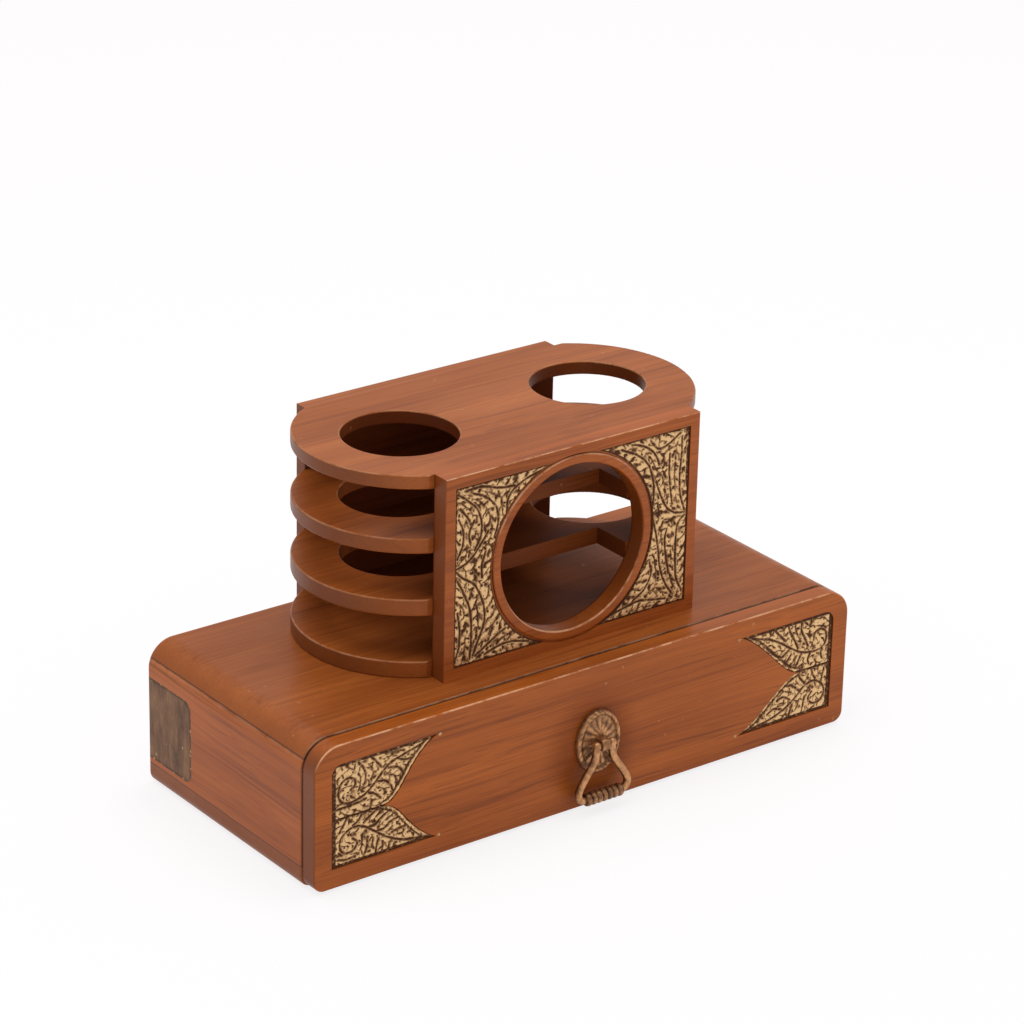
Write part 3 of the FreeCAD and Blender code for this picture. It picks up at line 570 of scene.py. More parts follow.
def make_mesh(name, points, faces, relief):
    """A closed mesh from points in millimetres and a list of arrays of corner numbers.

    relief is each point's height or exposure from 0 to 1, which the material reads. Seams and poles are
    merged, and the faces are turned outwards.
    """
    mesh = bpy.data.meshes.new(name)
    mesh.vertices.add(len(points))
    mesh.vertices.foreach_set("co", (np.asarray(points, float) * METRE).astype(np.float32).ravel())
    loops = np.concatenate([np.asarray(f).ravel() for f in faces])
    counts = np.concatenate([np.full(len(f), np.asarray(f).shape[1]) for f in faces])
    mesh.loops.add(len(loops))
    mesh.loops.foreach_set("vertex_index", loops.astype(np.int32))
    mesh.polygons.add(len(counts))
    starts = np.concatenate([[0], np.cumsum(counts)[:-1]])
    mesh.polygons.foreach_set("loop_start", starts.astype(np.int32))
    layer = mesh.attributes.new("relief", "FLOAT", "POINT")
    layer.data.foreach_set("value", np.asarray(relief, np.float32).ravel())
    mesh.update(calc_edges=True)
    mesh.validate()
    work = bmesh.new()
    work.from_mesh(mesh)
    bmesh.ops.remove_doubles(work, verts=work.verts, dist=2e-6)
    bmesh.ops.recalc_face_normals(work, faces=work.faces)
    work.to_mesh(mesh)
    work.free()
    return mesh


def place_piece(name, mesh, material, body, replaced, angle):
    """Links a mesh as a piece that rides on a body and stands for the CAD nodes named. Edges that turn by
    more than the angle, in degrees, stay sharp."""
    piece = bpy.data.objects.new(name, mesh)
    bpy.context.scene.collection.objects.link(piece)
    mesh.materials.append(material)
    mesh.shade_smooth()
    mesh.set_sharp_from_angle(angle=math.radians(angle))
    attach(piece, body)
    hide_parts(*replaced)


def join_parts(parts):
    """Puts several (points, faces, relief) parts end to end."""
    points, faces, relief = [], [], []
    start = 0
    for part_points, part_faces, part_relief in parts:
        points.append(part_points)
        faces += [np.asarray(f) + start for f in part_faces]
        relief.append(part_relief)
        start += len(part_points)
    return np.concatenate(points), faces, np.concatenate(relief)


def smooth_curve(corners, step):
    """A Catmull-Rom curve through the corners, sampled about every step on its longest stretch: between
    corners b and c the point is half of 2b + (c-a)t + (2a-5b+4c-d)t^2 + (3b-a-3c+d)t^3."""
    p = np.asarray(corners, float)
    padded = np.vstack([2 * p[0] - p[1], p, 2 * p[-1] - p[-2]])
    count = max(3, int(np.ceil(np.linalg.norm(np.diff(p, axis=0), axis=1).max() / step)))
    t = np.linspace(0.0, 1.0, count, endpoint=False)[None, :, None]
    a, b, c, d = (padded[k:len(p) - 1 + k, None, :] for k in range(4))
    curve = 0.5 * (2 * b + (c - a) * t + (2 * a - 5 * b + 4 * c - d) * t ** 2
                   + (3 * b - a - 3 * c + d) * t ** 3)
    return np.vstack([curve.reshape(-1, p.shape[1]), p[-1:]])


def distance_to(curve, x, z):
    """For each place: distance to the curve, signed side distance, and length along the curve."""
    tangents = np.gradient(curve, axis=0)
    steps = np.linalg.norm(np.diff(curve, axis=0), axis=1)
    lengths = np.concatenate([[0.0], np.cumsum(steps)])
    tangents /= np.linalg.norm(tangents, axis=1, keepdims=True)
    flat_x, flat_z = x.ravel(), z.ravel()
    nearest = np.empty(flat_x.size, int)
    # In parts of about 20000 places, which keeps the arrays small.
    for part in np.array_split(np.arange(flat_x.size), max(1, flat_x.size // 20000)):
        gap = (flat_x[part, None] - curve[None, :, 0]) ** 2 + (flat_z[part, None] - curve[None, :, 1]) ** 2
        nearest[part] = gap.argmin(axis=1)
    dx = flat_x - curve[nearest, 0]
    dz = flat_z - curve[nearest, 1]
    along = dx * tangents[nearest, 0] + dz * tangents[nearest, 1]
    side = dx * tangents[nearest, 1] - dz * tangents[nearest, 0]
    inner = (nearest > 0) & (nearest < len(curve) - 1)
    distance = np.where(inner, np.abs(side), np.hypot(side, along))
    return distance.reshape(x.shape), side.reshape(x.shape), (lengths[nearest] + along).reshape(x.shape)


def ripple(x, z, size, seed):
    """Smooth made-up unevenness from -1 to 1: a sum of sines in five directions, size millimetres long."""
    total = np.zeros_like(x)
    for k in range(5):
        turn = seed * 1.7 + k * 2.399
        length = size * (0.7 + 0.17 * k)
        total += np.sin(2 * np.pi * (x * math.cos(turn) + z * math.sin(turn)) / length + seed * 3.1 + k * k)
    return total / 3.2


def soft_step(value, low, high):
    """0 below low, 1 above high, and 3t^2 - 2t^3 between."""
    t = np.clip((value - low) / (high - low), 0.0, 1.0)
    return t * t * (3 - 2 * t)


def foliage(x, z, stems, pitch, lean, bold, seed):
    """Height from 0 to 1 of leaves stamped in a field.

    Each place belongs to its nearest stem. A smooth groove runs along the stem, and a weaker, broken one
    half way to the next stem. Rungs cross the leaf about every pitch millimetres, lean forwards, and swell
    and fade along their length; bold scales their width. Small tool marks lie wherever a made-up
    unevenness is high. A groove of half width w at distance d lowers the sheet by exp(-(d/w)^2).
    """
    best = np.full(x.shape, 1e9)
    second = np.full(x.shape, 1e9)
    run = np.zeros(x.shape)
    hand = np.zeros(x.shape)
    offset = np.zeros(x.shape)
    for number, corners in enumerate(stems):
        distance, side, along = distance_to(smooth_curve(corners, step=0.5), x, z)
        closer = distance < best
        second = np.where(closer, best, np.minimum(second, distance))
        run = np.where(closer, along, run)
        hand = np.where(closer, np.sign(side), hand)
        offset = np.where(closer, number * 0.37, offset)
        best = np.where(closer, distance, best)
    stem_groove = 0.92 * np.exp(-((best + 0.08 * ripple(x, z, 4.0, seed + 5.0)) / 0.58) ** 2)
    between = (second - best) + 0.3 * ripple(x, z, 3.4, seed + 1.0)
    edge_groove = (0.75 * np.exp(-(between / 1.1) ** 2) * soft_step(best, 1.2, 2.2)
                   * soft_step(ripple(x, z, 5.0, seed + 15.0), -0.8, 0.0))
    wobble = 0.22 * ripple(x, z, 9.0, seed) + 0.08 * ripple(x, z, 2.6, seed + 3.0)
    phase = (run - lean * best - 0.10 * best ** 2) / pitch + offset + 0.25 * hand + wobble
    rung = np.abs(phase - np.round(phase)) * pitch
    width = bold * (0.42 + 0.70 * soft_step(ripple(x, z, 4.6, seed + 7.0), -0.3, 0.7))
    depth = 0.62 + 0.33 * soft_step(ripple(x, z, 4.4, seed + 8.0), -0.5, 0.3)
    rung_groove = depth * np.exp(-(rung / width) ** 2) * soft_step(best, 0.5, 1.1)
    fleck = ripple(x, z, 2.2, seed + 11.0) + 0.8 * ripple(x, z, 3.1, seed + 13.0)
    mark = 0.72 * soft_step(fleck, 0.55, 1.10) * soft_step(best, 0.5, 1.0)
    height = 1.0 - np.maximum.reduce([stem_groove, edge_groove, rung_groove, mark])
    return np.clip(height * (0.88 + 0.16 * ripple(x, z, 6.0, seed + 2.0)), 0.0, 1.0)


def stamped_sheet(x, z, height, front_y, back_y, lift):
    """A closed sheet over a grid of places: its front stands at front_y, raised by lift times the height
    towards -y, its back is flat, and a wall joins them round the edge."""
    rows, columns = x.shape
    front = np.stack([x, front_y - lift * height, z], axis=-1).reshape(-1, 3)
    index = np.arange(rows * columns).reshape(rows, columns)
    loop = np.concatenate([index[0, :-1], index[:-1, -1], index[-1, :0:-1], index[:0:-1, 0]])
    rim = front[loop].copy()
    rim[:, 1] = back_y
    start = len(front)
    size = len(loop)
    ring = np.arange(size)
    wall = np.stack([loop, loop[(ring + 1) % size], start + (ring + 1) % size, start + ring], axis=1)
    back = (start + ring)[None, ::-1]
    points = np.vstack([front, rim])
    relief = np.concatenate([height.ravel(), np.zeros(size)])
    return points, [grid_quads(rows, columns), wall, back], relief


# ---------------------------------------------------------------------------- brass drawings
# Stems of the foliage, as places the stem passes through. In a leaf they are (distance in from the
# stand's end, height); beside the window they are (distance from the window's axis, height).
LEAF_STEMS = {
    ("left", "upper"): [
        [(52, 50), (46, 48.8), (40, 47.3), (34, 45.6), (30, 42.6), (26, 38.6), (22, 35.8), (17, 34.3),
         (13, 34.8), (10.9, 37.4), (10.8, 40.6), (12.2, 43.4), (15, 44.5), (17.6, 43.2), (18, 41),
         (16, 39.4)],
        [(19.5, 49.5), (21.5, 47), (22.7, 44), (22.4, 40.6)],
        [(25.5, 49.8), (27.6, 47.4), (29.6, 45)],
        [(44, 44.6), (41.5, 44.8), (39.2, 45.2), (37, 46.2)],
        [(39.6, 38), (38.6, 41), (36.4, 43), (33, 43.6)],
        [(34.8, 33.8), (33.4, 37), (30.8, 39), (27.4, 39.4)],
        [(29.4, 32.4), (27, 34.6), (24, 36)],
        [(10, 32.9), (15, 33.1), (20, 33.4), (23, 34)],
    ],
    ("left", "lower"): [
        [(52, 10.4), (44, 11.2), (38, 12.6), (32, 15.6), (27, 19.2), (23, 22.2), (19, 23.8), (15, 23.2),
         (11.8, 20.4), (11.4, 16.4), (14, 14), (17.2, 14.4), (19, 17), (17, 19.4)],
        [(41, 17.6), (38, 17.4), (34.6, 16.6)],
        [(37, 22), (34.4, 21.4), (31, 19.4), (28, 19)],
        [(33.6, 26), (30.4, 24.6), (27, 22), (24.6, 22)],
        [(28, 28), (25, 26.6), (22, 24.4)],
        [(21, 28), (19.6, 26), (17, 24.6)],
        [(14.4, 28.2), (13, 26), (11, 23)],
        [(22, 10.8), (23.4, 14), (23.6, 18)],
        [(27.4, 10.8), (27.8, 13.4), (28.6, 16)],
        [(33, 10.6), (33.4, 12.2), (34.4, 13.6)],
        [(10.6, 12), (14, 11.4), (18, 11.6)],
    ],
    ("right", "upper"): [
        [(52, 50), (45, 48.4), (39, 46.4), (33, 43), (28, 39.6), (23, 37), (18, 35.8), (13, 36.2),
         (10.6, 39), (10.8, 42.6), (13.4, 44.6), (16.4, 43.6), (17, 40.8)],
        [(43, 45), (40, 42.4), (37.4, 39.6), (34, 37.8)],
        [(38, 37), (35, 36.4), (32, 38), (29.6, 39.6)],
        [(33, 33.4), (30.6, 34.8), (28.4, 37.6)],
        [(26, 31.2), (24.6, 33.6), (23, 36.4)],
        [(19, 31), (19.6, 33.2), (18.4, 35.6)],
        [(12, 31.4), (13, 33.6), (12.4, 35.6)],
        [(37, 49.6), (34.6, 47), (31.6, 44)],
        [(30.4, 49.8), (29, 46.4), (26.6, 42.4), (25, 39)],
        [(23.6, 49.8), (23.6, 46.4), (21.6, 42.4), (20, 39)],
    ],
    ("right", "lower"): [
        [(52, 9.8), (44, 10.6), (36, 12.2), (30, 14.6), (25, 18), (21, 21.4), (16.6, 22.8), (12.4, 21),
         (10.4, 17), (12, 13.4), (15.8, 12.8), (18.4, 15.4), (16.8, 18)],
        [(39.4, 14.2), (36, 15.6), (32.4, 14.8)],
        [(34.6, 19), (31.4, 19.6), (28, 17.6)],
        [(29.8, 24), (27, 23.4), (23.6, 20.4)],
        [(24.6, 27.6), (22.8, 25.4), (20.4, 22.4)],
        [(17.4, 28), (16.6, 25.6), (15.2, 23.4)],
        [(10.8, 27), (11.4, 24.4), (12, 21.8)],
        [(21.6, 10.2), (21, 13.4), (20.4, 17)],
        [(28.4, 10.2), (27.6, 12.4), (26.6, 15)],
    ],
}

WINDOW_STEMS = {
    "left": [
        [(47.5, 66), (47, 73), (47, 80), (48, 87), (50.5, 93), (53.5, 99)],
        [(46, 67), (44, 72), (41.4, 78), (41, 84), (42.6, 90), (46, 96), (51, 99.6), (54.4, 103)],
        [(54.6, 66), (52.6, 72), (52.4, 79), (53.4, 86)],
        [(45, 66.6), (40, 69.4), (35, 72.4), (31, 74.4)],
        [(40.6, 66), (34, 67.8), (28, 68), (20, 66)],
        [(54.4, 104), (50, 105.4), (46.4, 108), (43, 112), (40, 116)],
        [(42.4, 98), (42.6, 103), (41, 108)],
        [(46, 110), (43.4, 115), (43, 120), (45, 126), (50, 131), (54, 134)],
        [(48, 112.6), (48.6, 117.6), (46.4, 122)],
        [(54, 108), (51.6, 113), (51.4, 119), (53.6, 124)],
        [(53, 128), (49.6, 124), (47.6, 120)],
        [(37, 113), (35.4, 119), (36.4, 125), (41, 130), (47, 133)],
        [(31.6, 122), (31, 127), (28, 130.6), (22, 133.4), (14, 135.2)],
        [(51, 134.6), (43, 134.8), (35, 132.4), (28, 131.6)],
    ],
    "right": [
        [(53.8, 68), (51, 74), (50.2, 81), (50, 90), (50.8, 97), (53.8, 100)],
        [(49.4, 67.6), (45.6, 73), (42.8, 80), (41.6, 88), (40, 96), (38.6, 101)],
        [(45.8, 66.6), (40, 67.6), (32, 68.8), (24, 67.4), (16, 65.6)],
        [(37.6, 84), (38.4, 79), (35.6, 73.4), (30, 69.6)],
        [(53.6, 101), (49, 102), (45, 105), (42, 110.4), (39.4, 117)],
        [(45.4, 96), (44.6, 91), (45.6, 84), (47, 77)],
        [(53.8, 102), (51.4, 109), (50.8, 117), (51.4, 126), (51.4, 133)],
        [(47.6, 106), (46.4, 113), (45.6, 120), (45.6, 127)],
        [(54.4, 112), (54.2, 120), (54.4, 128)],
        [(37.8, 106), (38.4, 112), (37.8, 118), (35.2, 125), (30, 130), (22, 134)],
        [(40.6, 124), (38, 129), (33, 133), (27, 135)],
        [(50.4, 134.6), (45, 131.4), (40, 130.4), (36, 134.6)],
    ],
}


def leaf_field(side, level, brass):
    """Grid of places of one leaf: straight to the tip along its long side, a cubic Bezier curve from waist
    to tip along the other, with u from the end to the tip and v across between the two."""
    waist = LEAF_WAIST[side]
    end, tip = LEAF_END, LEAF_TIP
    if level == "upper":
        outer, start, rise = LEAF_TOP, LEAF_SPLIT, 1.0
    else:
        outer, start, rise = LEAF_FOOT, LEAF_SPLIT, -1.0
    poles = np.array([(waist, start),
                      (waist + LEAF_BELLY_REACH, start + rise * LEAF_BELLY_RISE),
                      (tip - LEAF_NECK_REACH, outer - rise * LEAF_NECK_DROP),
                      (tip, outer)])
    t = np.linspace(0.0, 1.0, 200)[:, None]
    curve = ((1 - t) ** 3 * poles[0] + 3 * (1 - t) ** 2 * t * poles[1] + 3 * (1 - t) * t ** 2 * poles[2]
             + t ** 3 * poles[3])
    columns = int((tip - end) / brass.pixel)
    rows = int(LEAF_WIDTH / brass.pixel)
    u = np.linspace(end + LEAF_GAP, tip - LEAF_TIP_GAP, columns)
    inner = np.where(u < waist, start, np.interp(u, curve[:, 0], curve[:, 1]))
    edge = np.full_like(u, outer)
    if level == "upper":
        radius = LEAF_CORNER_RADIUS
        into = np.clip(radius - (u - end), 0.0, radius)
        edge -= radius - np.sqrt(radius ** 2 - into ** 2)
    inner = inner + rise * LEAF_GAP
    edge = edge - rise * LEAF_GAP
    v = np.linspace(0.0, 1.0, rows)[:, None]
    z = inner[None, :] * (1 - v) + edge[None, :] * v
    inset = np.broadcast_to(u[None, :], z.shape)
    return inset, z, curve, outer, start, end


def leaf_height(side, level, brass):
    """Height of a leaf: foliage inside a sunk border at the end and along the long side, with a raised rim
    along the curved edge and a groove inside that rim."""
    inset, z, curve, outer, start, end = leaf_field(side, level, brass)
    height = foliage(inset, z, LEAF_STEMS[(side, level)], brass.vein_pitch, lean=0.8, bold=0.68,
                     seed=1.0 if level == "upper" else 4.0)
    from_end = inset - end
    from_outer = np.abs(outer - z)
    from_split = np.abs(z - start)
    to_curve = distance_to(curve, inset, z)[0]
    rim = np.exp(-((to_curve - 0.75) / 0.5) ** 2)
    groove = np.exp(-((to_curve - 1.75) / 0.45) ** 2)
    height = np.maximum(height * (1 - 0.85 * groove), LEAF_RIM[(side, level)] * rim)
    border = (soft_step(from_end, 1.6, 2.3) * soft_step(from_outer, 1.0, 1.6)
              * soft_step(from_split, 0.25, 0.7))
    grime = 0.20 + 0.14 * ripple(inset, z, 1.8, 3.0)
    height = np.maximum(height * border, grime) * soft_step(to_curve, 0.1, 0.4)
    return inset, z, height


def window_field(brass):
    """Grid of places of one field: rows of constant height from the straight stile to the ring's circle."""
    radius = WINDOW_RING_RADIUS + GROOVE_WIDTH + INLAY_GAP
    rows = int((FIELD_TOP_Z - FIELD_FOOT_Z) / brass.pixel)
    columns = int(FIELD_WIDTH / brass.pixel)
    z = np.linspace(FIELD_FOOT_Z, FIELD_TOP_Z, rows)[:, None]
    ring = np.sqrt(radius ** 2 - (z - WINDOW_Z) ** 2)
    u = np.linspace(0.0, 1.0, columns)[None, :]
    away = FIELD_REACH * (1 - u) + ring * u
    return away, np.broadcast_to(z, away.shape), radius


def window_height(side, brass):
    """Height of a field: foliage inside a narrow sunk border."""
    away, z, radius = window_field(brass)
    height = foliage(away, z, WINDOW_STEMS[side], brass.vein_pitch * 1.1, lean=0.35, bold=1.25,
                     seed=2.0 if side == "left" else 5.0)
    from_ring = np.hypot(away, z - WINDOW_Z) - radius
    border = (soft_step(FIELD_REACH - away, 0.3, 0.9) * soft_step(z - FIELD_FOOT_Z, 0.3, 0.9)
              * soft_step(FIELD_TOP_Z - z, 0.3, 0.9) * soft_step(from_ring, 0.2, 0.7))
    grime = 0.16 + 0.12 * ripple(away, z, 1.8, 6.0)
    return away, z, np.maximum(height * border, grime)


# ---------------------------------------------------------------------------- pull surfaces
def revolve_about_x(along, radius, centre, segments, relief):
    """A turned shape on an axis along X: point = (along, r cos a, r sin a), closed at both ends."""
    a = np.linspace(0, 2 * np.pi, segments, endpoint=False)[None, :]
    r = radius[:, None]
    x = np.broadcast_to(along[:, None], (len(along), segments))
    points = np.stack([x + centre[0], centre[1] + r * np.cos(a), centre[2] + r * np.sin(a)], axis=-1)
    shown = np.broadcast_to(relief[:, None], x.shape)
    return points.reshape(-1, 3), [grid_quads(len(along), segments, wrap_columns=True)], shown.ravel()


def swept_tube(curve, wide, thick, segments):
    """A tube along a curve that lies in a plane of constant y. Its section is a superellipse of half width
    wide in that plane and half thickness thick across it: (|cos a|^0.8, |sin a|^0.8) with their signs.
    Its front is rubbed and its back isn't."""
    tangent = np.gradient(curve, axis=0)
    tangent /= np.linalg.norm(tangent, axis=1, keepdims=True)
    across = np.stack([tangent[:, 2], np.zeros(len(curve)), -tangent[:, 0]], axis=1)
    a = np.linspace(0, 2 * np.pi, segments, endpoint=False)
    c = np.sign(np.cos(a)) * np.abs(np.cos(a)) ** 0.8
    s = np.sign(np.sin(a)) * np.abs(np.sin(a)) ** 0.8
    points = (curve[:, None, :] + across[:, None, :] * c[None, :, None] * wide
              + np.array([0.0, 1.0, 0.0]) * s[None, :, None] * thick)
    back_relief, front_relief = 0.28, 0.85
    exposed = back_relief + (front_relief - back_relief) * np.clip(-s, 0, 1)
    relief = np.broadcast_to(exposed[None, :], (len(curve), segments)).ravel()
    faces = [grid_quads(len(curve), segments, wrap_columns=True)]
    last = (len(curve) - 1) * segments
    faces += [np.arange(segments)[None, ::-1], (last + np.arange(segments))[None, :]]
    return points.reshape(-1, 3), faces, relief


def pull_plate_surface(pull):
    """The oval plate. With m the distance in from the outline and a the angle round it, the front rises to
    a rounded rim, drops into a dish, and swells to a dome. A rope of slanted notches crosses the rim as
    cos(n a + 2.4 m), and sixteen flutes run from the rim up the dish as |cos(8a + sin(2a) / 4)|."""
    segments = 360
    a = np.linspace(0, 2 * np.pi, segments, endpoint=False)[None, :]
    m = np.array([0.0, 0.0, 0.12, 0.35, 0.6, 0.85, 1.1, 1.35, 1.6, 1.85, 2.1, 2.3, 2.5, 2.8, 3.2, 3.7, 4.3,
                  4.9, 5.5, 6.1, 6.7, 7.4, 8.4, 9.4, PULL_HALF_WIDTH, PULL_HALF_WIDTH])[:, None]
    # Height of the front above the drawer front at each of those distances, without its ornament.
    profile = np.array([0.0, 1.0, 1.55, 2.05, 2.4, 2.58, 2.6, 2.52, 2.36, 2.1, 1.8, 1.62, 1.52, 1.5, 1.53,
                        1.6, 1.68, 1.78, 1.9, 2.02, 2.12, 2.2, 2.26, 2.3, 2.3, 0.0])[:, None]
    rim = np.exp(-((m - 0.95) / 0.8) ** 2) * (m > 0.05)
    notch = 0.5 + 0.5 * np.cos(pull.rim_notches * a + 2.4 * m)
    dish = soft_step(m, 2.3, 3.2) * (1 - soft_step(m, 7.0, 9.6)) * (profile > 0.5)
    flute = np.abs(np.cos(8 * a + 0.25 * np.sin(2 * a)))
    height = profile - 0.24 * rim * notch ** 2 + 0.26 * dish * (flute - 0.5)
    x = PULL_X + (PULL_HALF_WIDTH - m) * np.cos(a)
    z = PULL_Z + (PULL_HALF_HEIGHT - m) * np.sin(a)
    # The dome's share in the relief makes it brighter, a painted highlight.
    dome = soft_step(m, 5.5, 8.5)
    relief = 0.42 + 0.4 * rim * (1 - 0.7 * notch ** 2) + 0.36 * dish * flute - 0.06 * dish + 0.30 * dome
    points = np.stack([x, FRONT_Y - height, z], axis=-1).reshape(-1, 3)
    return points, [grid_quads(m.size, segments, wrap_rows=True, wrap_columns=True)], relief.ravel()


def bail_curve():
    """Half of the bail's outline from the eye to the grip, as (across, up) about the pivot."""
    corners = [(BAIL_EYE_X, 0.0), (3.85, -2.9), (4.5, -5.9), (6.8, -9.5), (9.2, -12.9), (11.0, -15.9),
               (11.7, -18.2), (11.1, -20.2), (9.5, -21.2), (7.6, -BAIL_DROP)]
    return smooth_curve(corners, step=0.35)


def bail_side(sign, pivot):
    """One arm of the bail with its eye, which swells as the square root of a sine, and its pin."""
    half = bail_curve()
    curve = np.stack([sign * half[:, 0], np.zeros(len(half)), half[:, 1]], axis=1) + pivot
    turn = np.linspace(0, np.pi, 25)
    along = sign * (BAIL_EYE_X - BAIL_EYE_HALF_WIDTH * np.cos(turn))
    swell = BAIL_EYE_RADIUS * np.sqrt(np.abs(np.sin(turn)))
    pin = np.array([BAIL_PIN_START, BAIL_PIN_START, BAIL_PIN_END, BAIL_PIN_END]) * sign
    pin_radius = np.array([0.0, BAIL_PIN_RADIUS, BAIL_PIN_RADIUS, 0.0])
    return [swept_tube(curve, BAIL_ARM_WIDE, BAIL_ARM_THICK, segments=28),
            revolve_about_x(along, swell, pivot, segments=40, relief=0.55 + 0.3 * np.sin(turn)),
            revolve_about_x(pin, pin_radius, pivot, segments=24, relief=np.full(4, 0.4))]


def bail_grip(pull, pivot):
    """The grip, a row of beads: along its length each bead swells as |sin|^0.6."""
    x = np.linspace(-GRIP_HALF_LENGTH, GRIP_HALF_LENGTH, 281)
    wave = np.abs(np.sin(np.pi * (x + GRIP_HALF_LENGTH) / (2 * GRIP_HALF_LENGTH) * pull.beads)) ** 0.6
    radius = GRIP_RADIUS + GRIP_BEAD_RISE * wave
    radius[[0, -1]] = 0.0
    return revolve_about_x(x, radius, pivot + np.array([0, 0, -BAIL_DROP]), segments=48,
                           relief=0.12 + 0.5 * wave)


# ---------------------------------------------------------------------------- stage
def make_floor(stage):
    """A matt white floor that also glows for the camera and in reflections, so that it stays white there."""
    half = FLOOR_HALF_SIZE
    mesh = bpy.data.meshes.new("floor")
    corners = [(-half, -half, 0), (half, -half, 0), (half, half, 0), (-half, half, 0)]
    mesh.from_pydata(corners, [], [(0, 1, 2, 3)])
    floor = bpy.data.objects.new("floor", mesh)
    bpy.context.scene.collection.objects.link(floor)
    material, tree = blank("matt_white_floor")
    lit = add(tree, "BsdfDiffuse", values={"Color": linear(stage.floor)})
    seen = add(tree, "Emission", values={"Color": linear(stage.floor), "Strength": FLOOR_GLOW})
    ray = add(tree, "LightPath").outputs
    direct = arithmetic(tree, "MAXIMUM", ray["Is Camera Ray"], ray["Is Glossy Ray"])
    direct = arithmetic(tree, "MAXIMUM", direct, ray["Is Transmission Ray"])
    share = arithmetic(tree, "MULTIPLY", direct, FLOOR_GLOW_SHARE)
    mixed = add(tree, "MixShader", links={"Fac": share, 1: lit.outputs[0], 2: seen.outputs[0]})
    add(tree, "OutputMaterial", links={"Surface": mixed.outputs[0]})
    mesh.materials.append(material)


def make_sky(stage):
    """Even white surroundings."""
    world = bpy.data.worlds.new("white_room")
    bpy.context.scene.world = world
    world.use_nodes = True
    tree = world.node_tree
    tree.nodes.clear()
    sky = add(tree, "Background", values={"Color": linear("#FFFFFF"), "Strength": stage.sky})
    add(tree, "OutputWorld", links={"Surface": sky.outputs[0]})


def make_lamps(stage):
    """Two large round lamps above the stand, turned towards it."""
    for name, place, size, share in LAMPS:
        data = bpy.data.lights.new(name, "AREA")
        data.shape = "DISK"
        data.size = size
        data.energy = stage.key * share
        lamp = bpy.data.objects.new(name, data)
        lamp.location = place
        lamp.rotation_mode = "QUATERNION"
        lamp.rotation_quaternion = (Vector(LAMP_TARGET) - Vector(place)).to_track_quat("-Z", "Y")
        bpy.context.scene.collection.objects.link(lamp)


def make_camera(stage):
    """The camera. back points from the stand to it, and roll turns its right and up about back."""
    azimuth, elevation, roll = (math.radians(angle) for angle in CAMERA_ANGLES)
    back = Vector((math.sin(azimuth) * math.cos(elevation), -math.cos(azimuth) * math.cos(elevation),
                   math.sin(elevation)))
    right = (-back).cross(Vector((0, 0, 1))).normalized()
    up = right.cross(-back)
    across = math.cos(roll) * right + math.sin(roll) * up
    upright = -math.sin(roll) * right + math.cos(roll) * up
    data = bpy.data.cameras.new("camera")
    data.sensor_width = 36.0
    data.lens = stage.lens
    data.clip_start = 0.05
    data.clip_end = 30.0
    camera = bpy.data.objects.new("camera", data)
    axes = Matrix((across, upright, back)).transposed().to_4x4()
    camera.matrix_world = Matrix.Translation(CAMERA_PLACE) @ axes
    bpy.context.scene.collection.objects.link(camera)
    bpy.context.scene.camera = camera
    bpy.context.scene.view_settings.view_transform = "Standard"


# ---------------------------------------------------------------------------- operators
class PENSTAND_OT_case(bpy.types.Operator):
    """Lacquered boards of the case and its dowels."""

    bl_idname = "penstand.case"
    bl_label = "Case"

    def execute(self, context):
        wood = context.scene.pen_stand_wood
        top, foot = ("Z", TOP_JOINT_Z, 0.3), ("Z", FOOT_JOINT_Z, 0.2)
        # The line at the case top's mouth is painted shade in the seam round the drawer front.
        mouth = ("Y", MOUTH_Y, 0.45)
        side_tone = (0.96, 0.88, 0.68)
        give("case_top_board",
             sheesham("sheesham_case_top", wood, "X", (40, 63, 71), 1.0, face="Y", joints=(top, mouth),
                      end_grain=0.25))
        give("case_bottom_board",
             sheesham("sheesham_case_bottom", wood, "X", (310, 45, 88), 0.9, face="Y", joints=(foot,),
                      end_grain=0.3))
        give("case_left_side",
             sheesham("sheesham_left_side", wood, "Y", (20, 52, 94), side_tone, face="X",
                      joints=(top, foot)))
        give("case_right_side",
             sheesham("sheesham_right_side", wood, "Y", (220, 71, 83), side_tone, face="X",
                      joints=(top, foot)))
        give("case_back_board",
             sheesham("sheesham_case_back", wood, "X", (150, 92, 64), 0.95, face="Y", joints=(top, foot)))
        give("case_dowels", sheesham("beech_case_dowels", wood, "Z", (0, 30, 60), 1.5, 0.0))
        return {"FINISHED"}


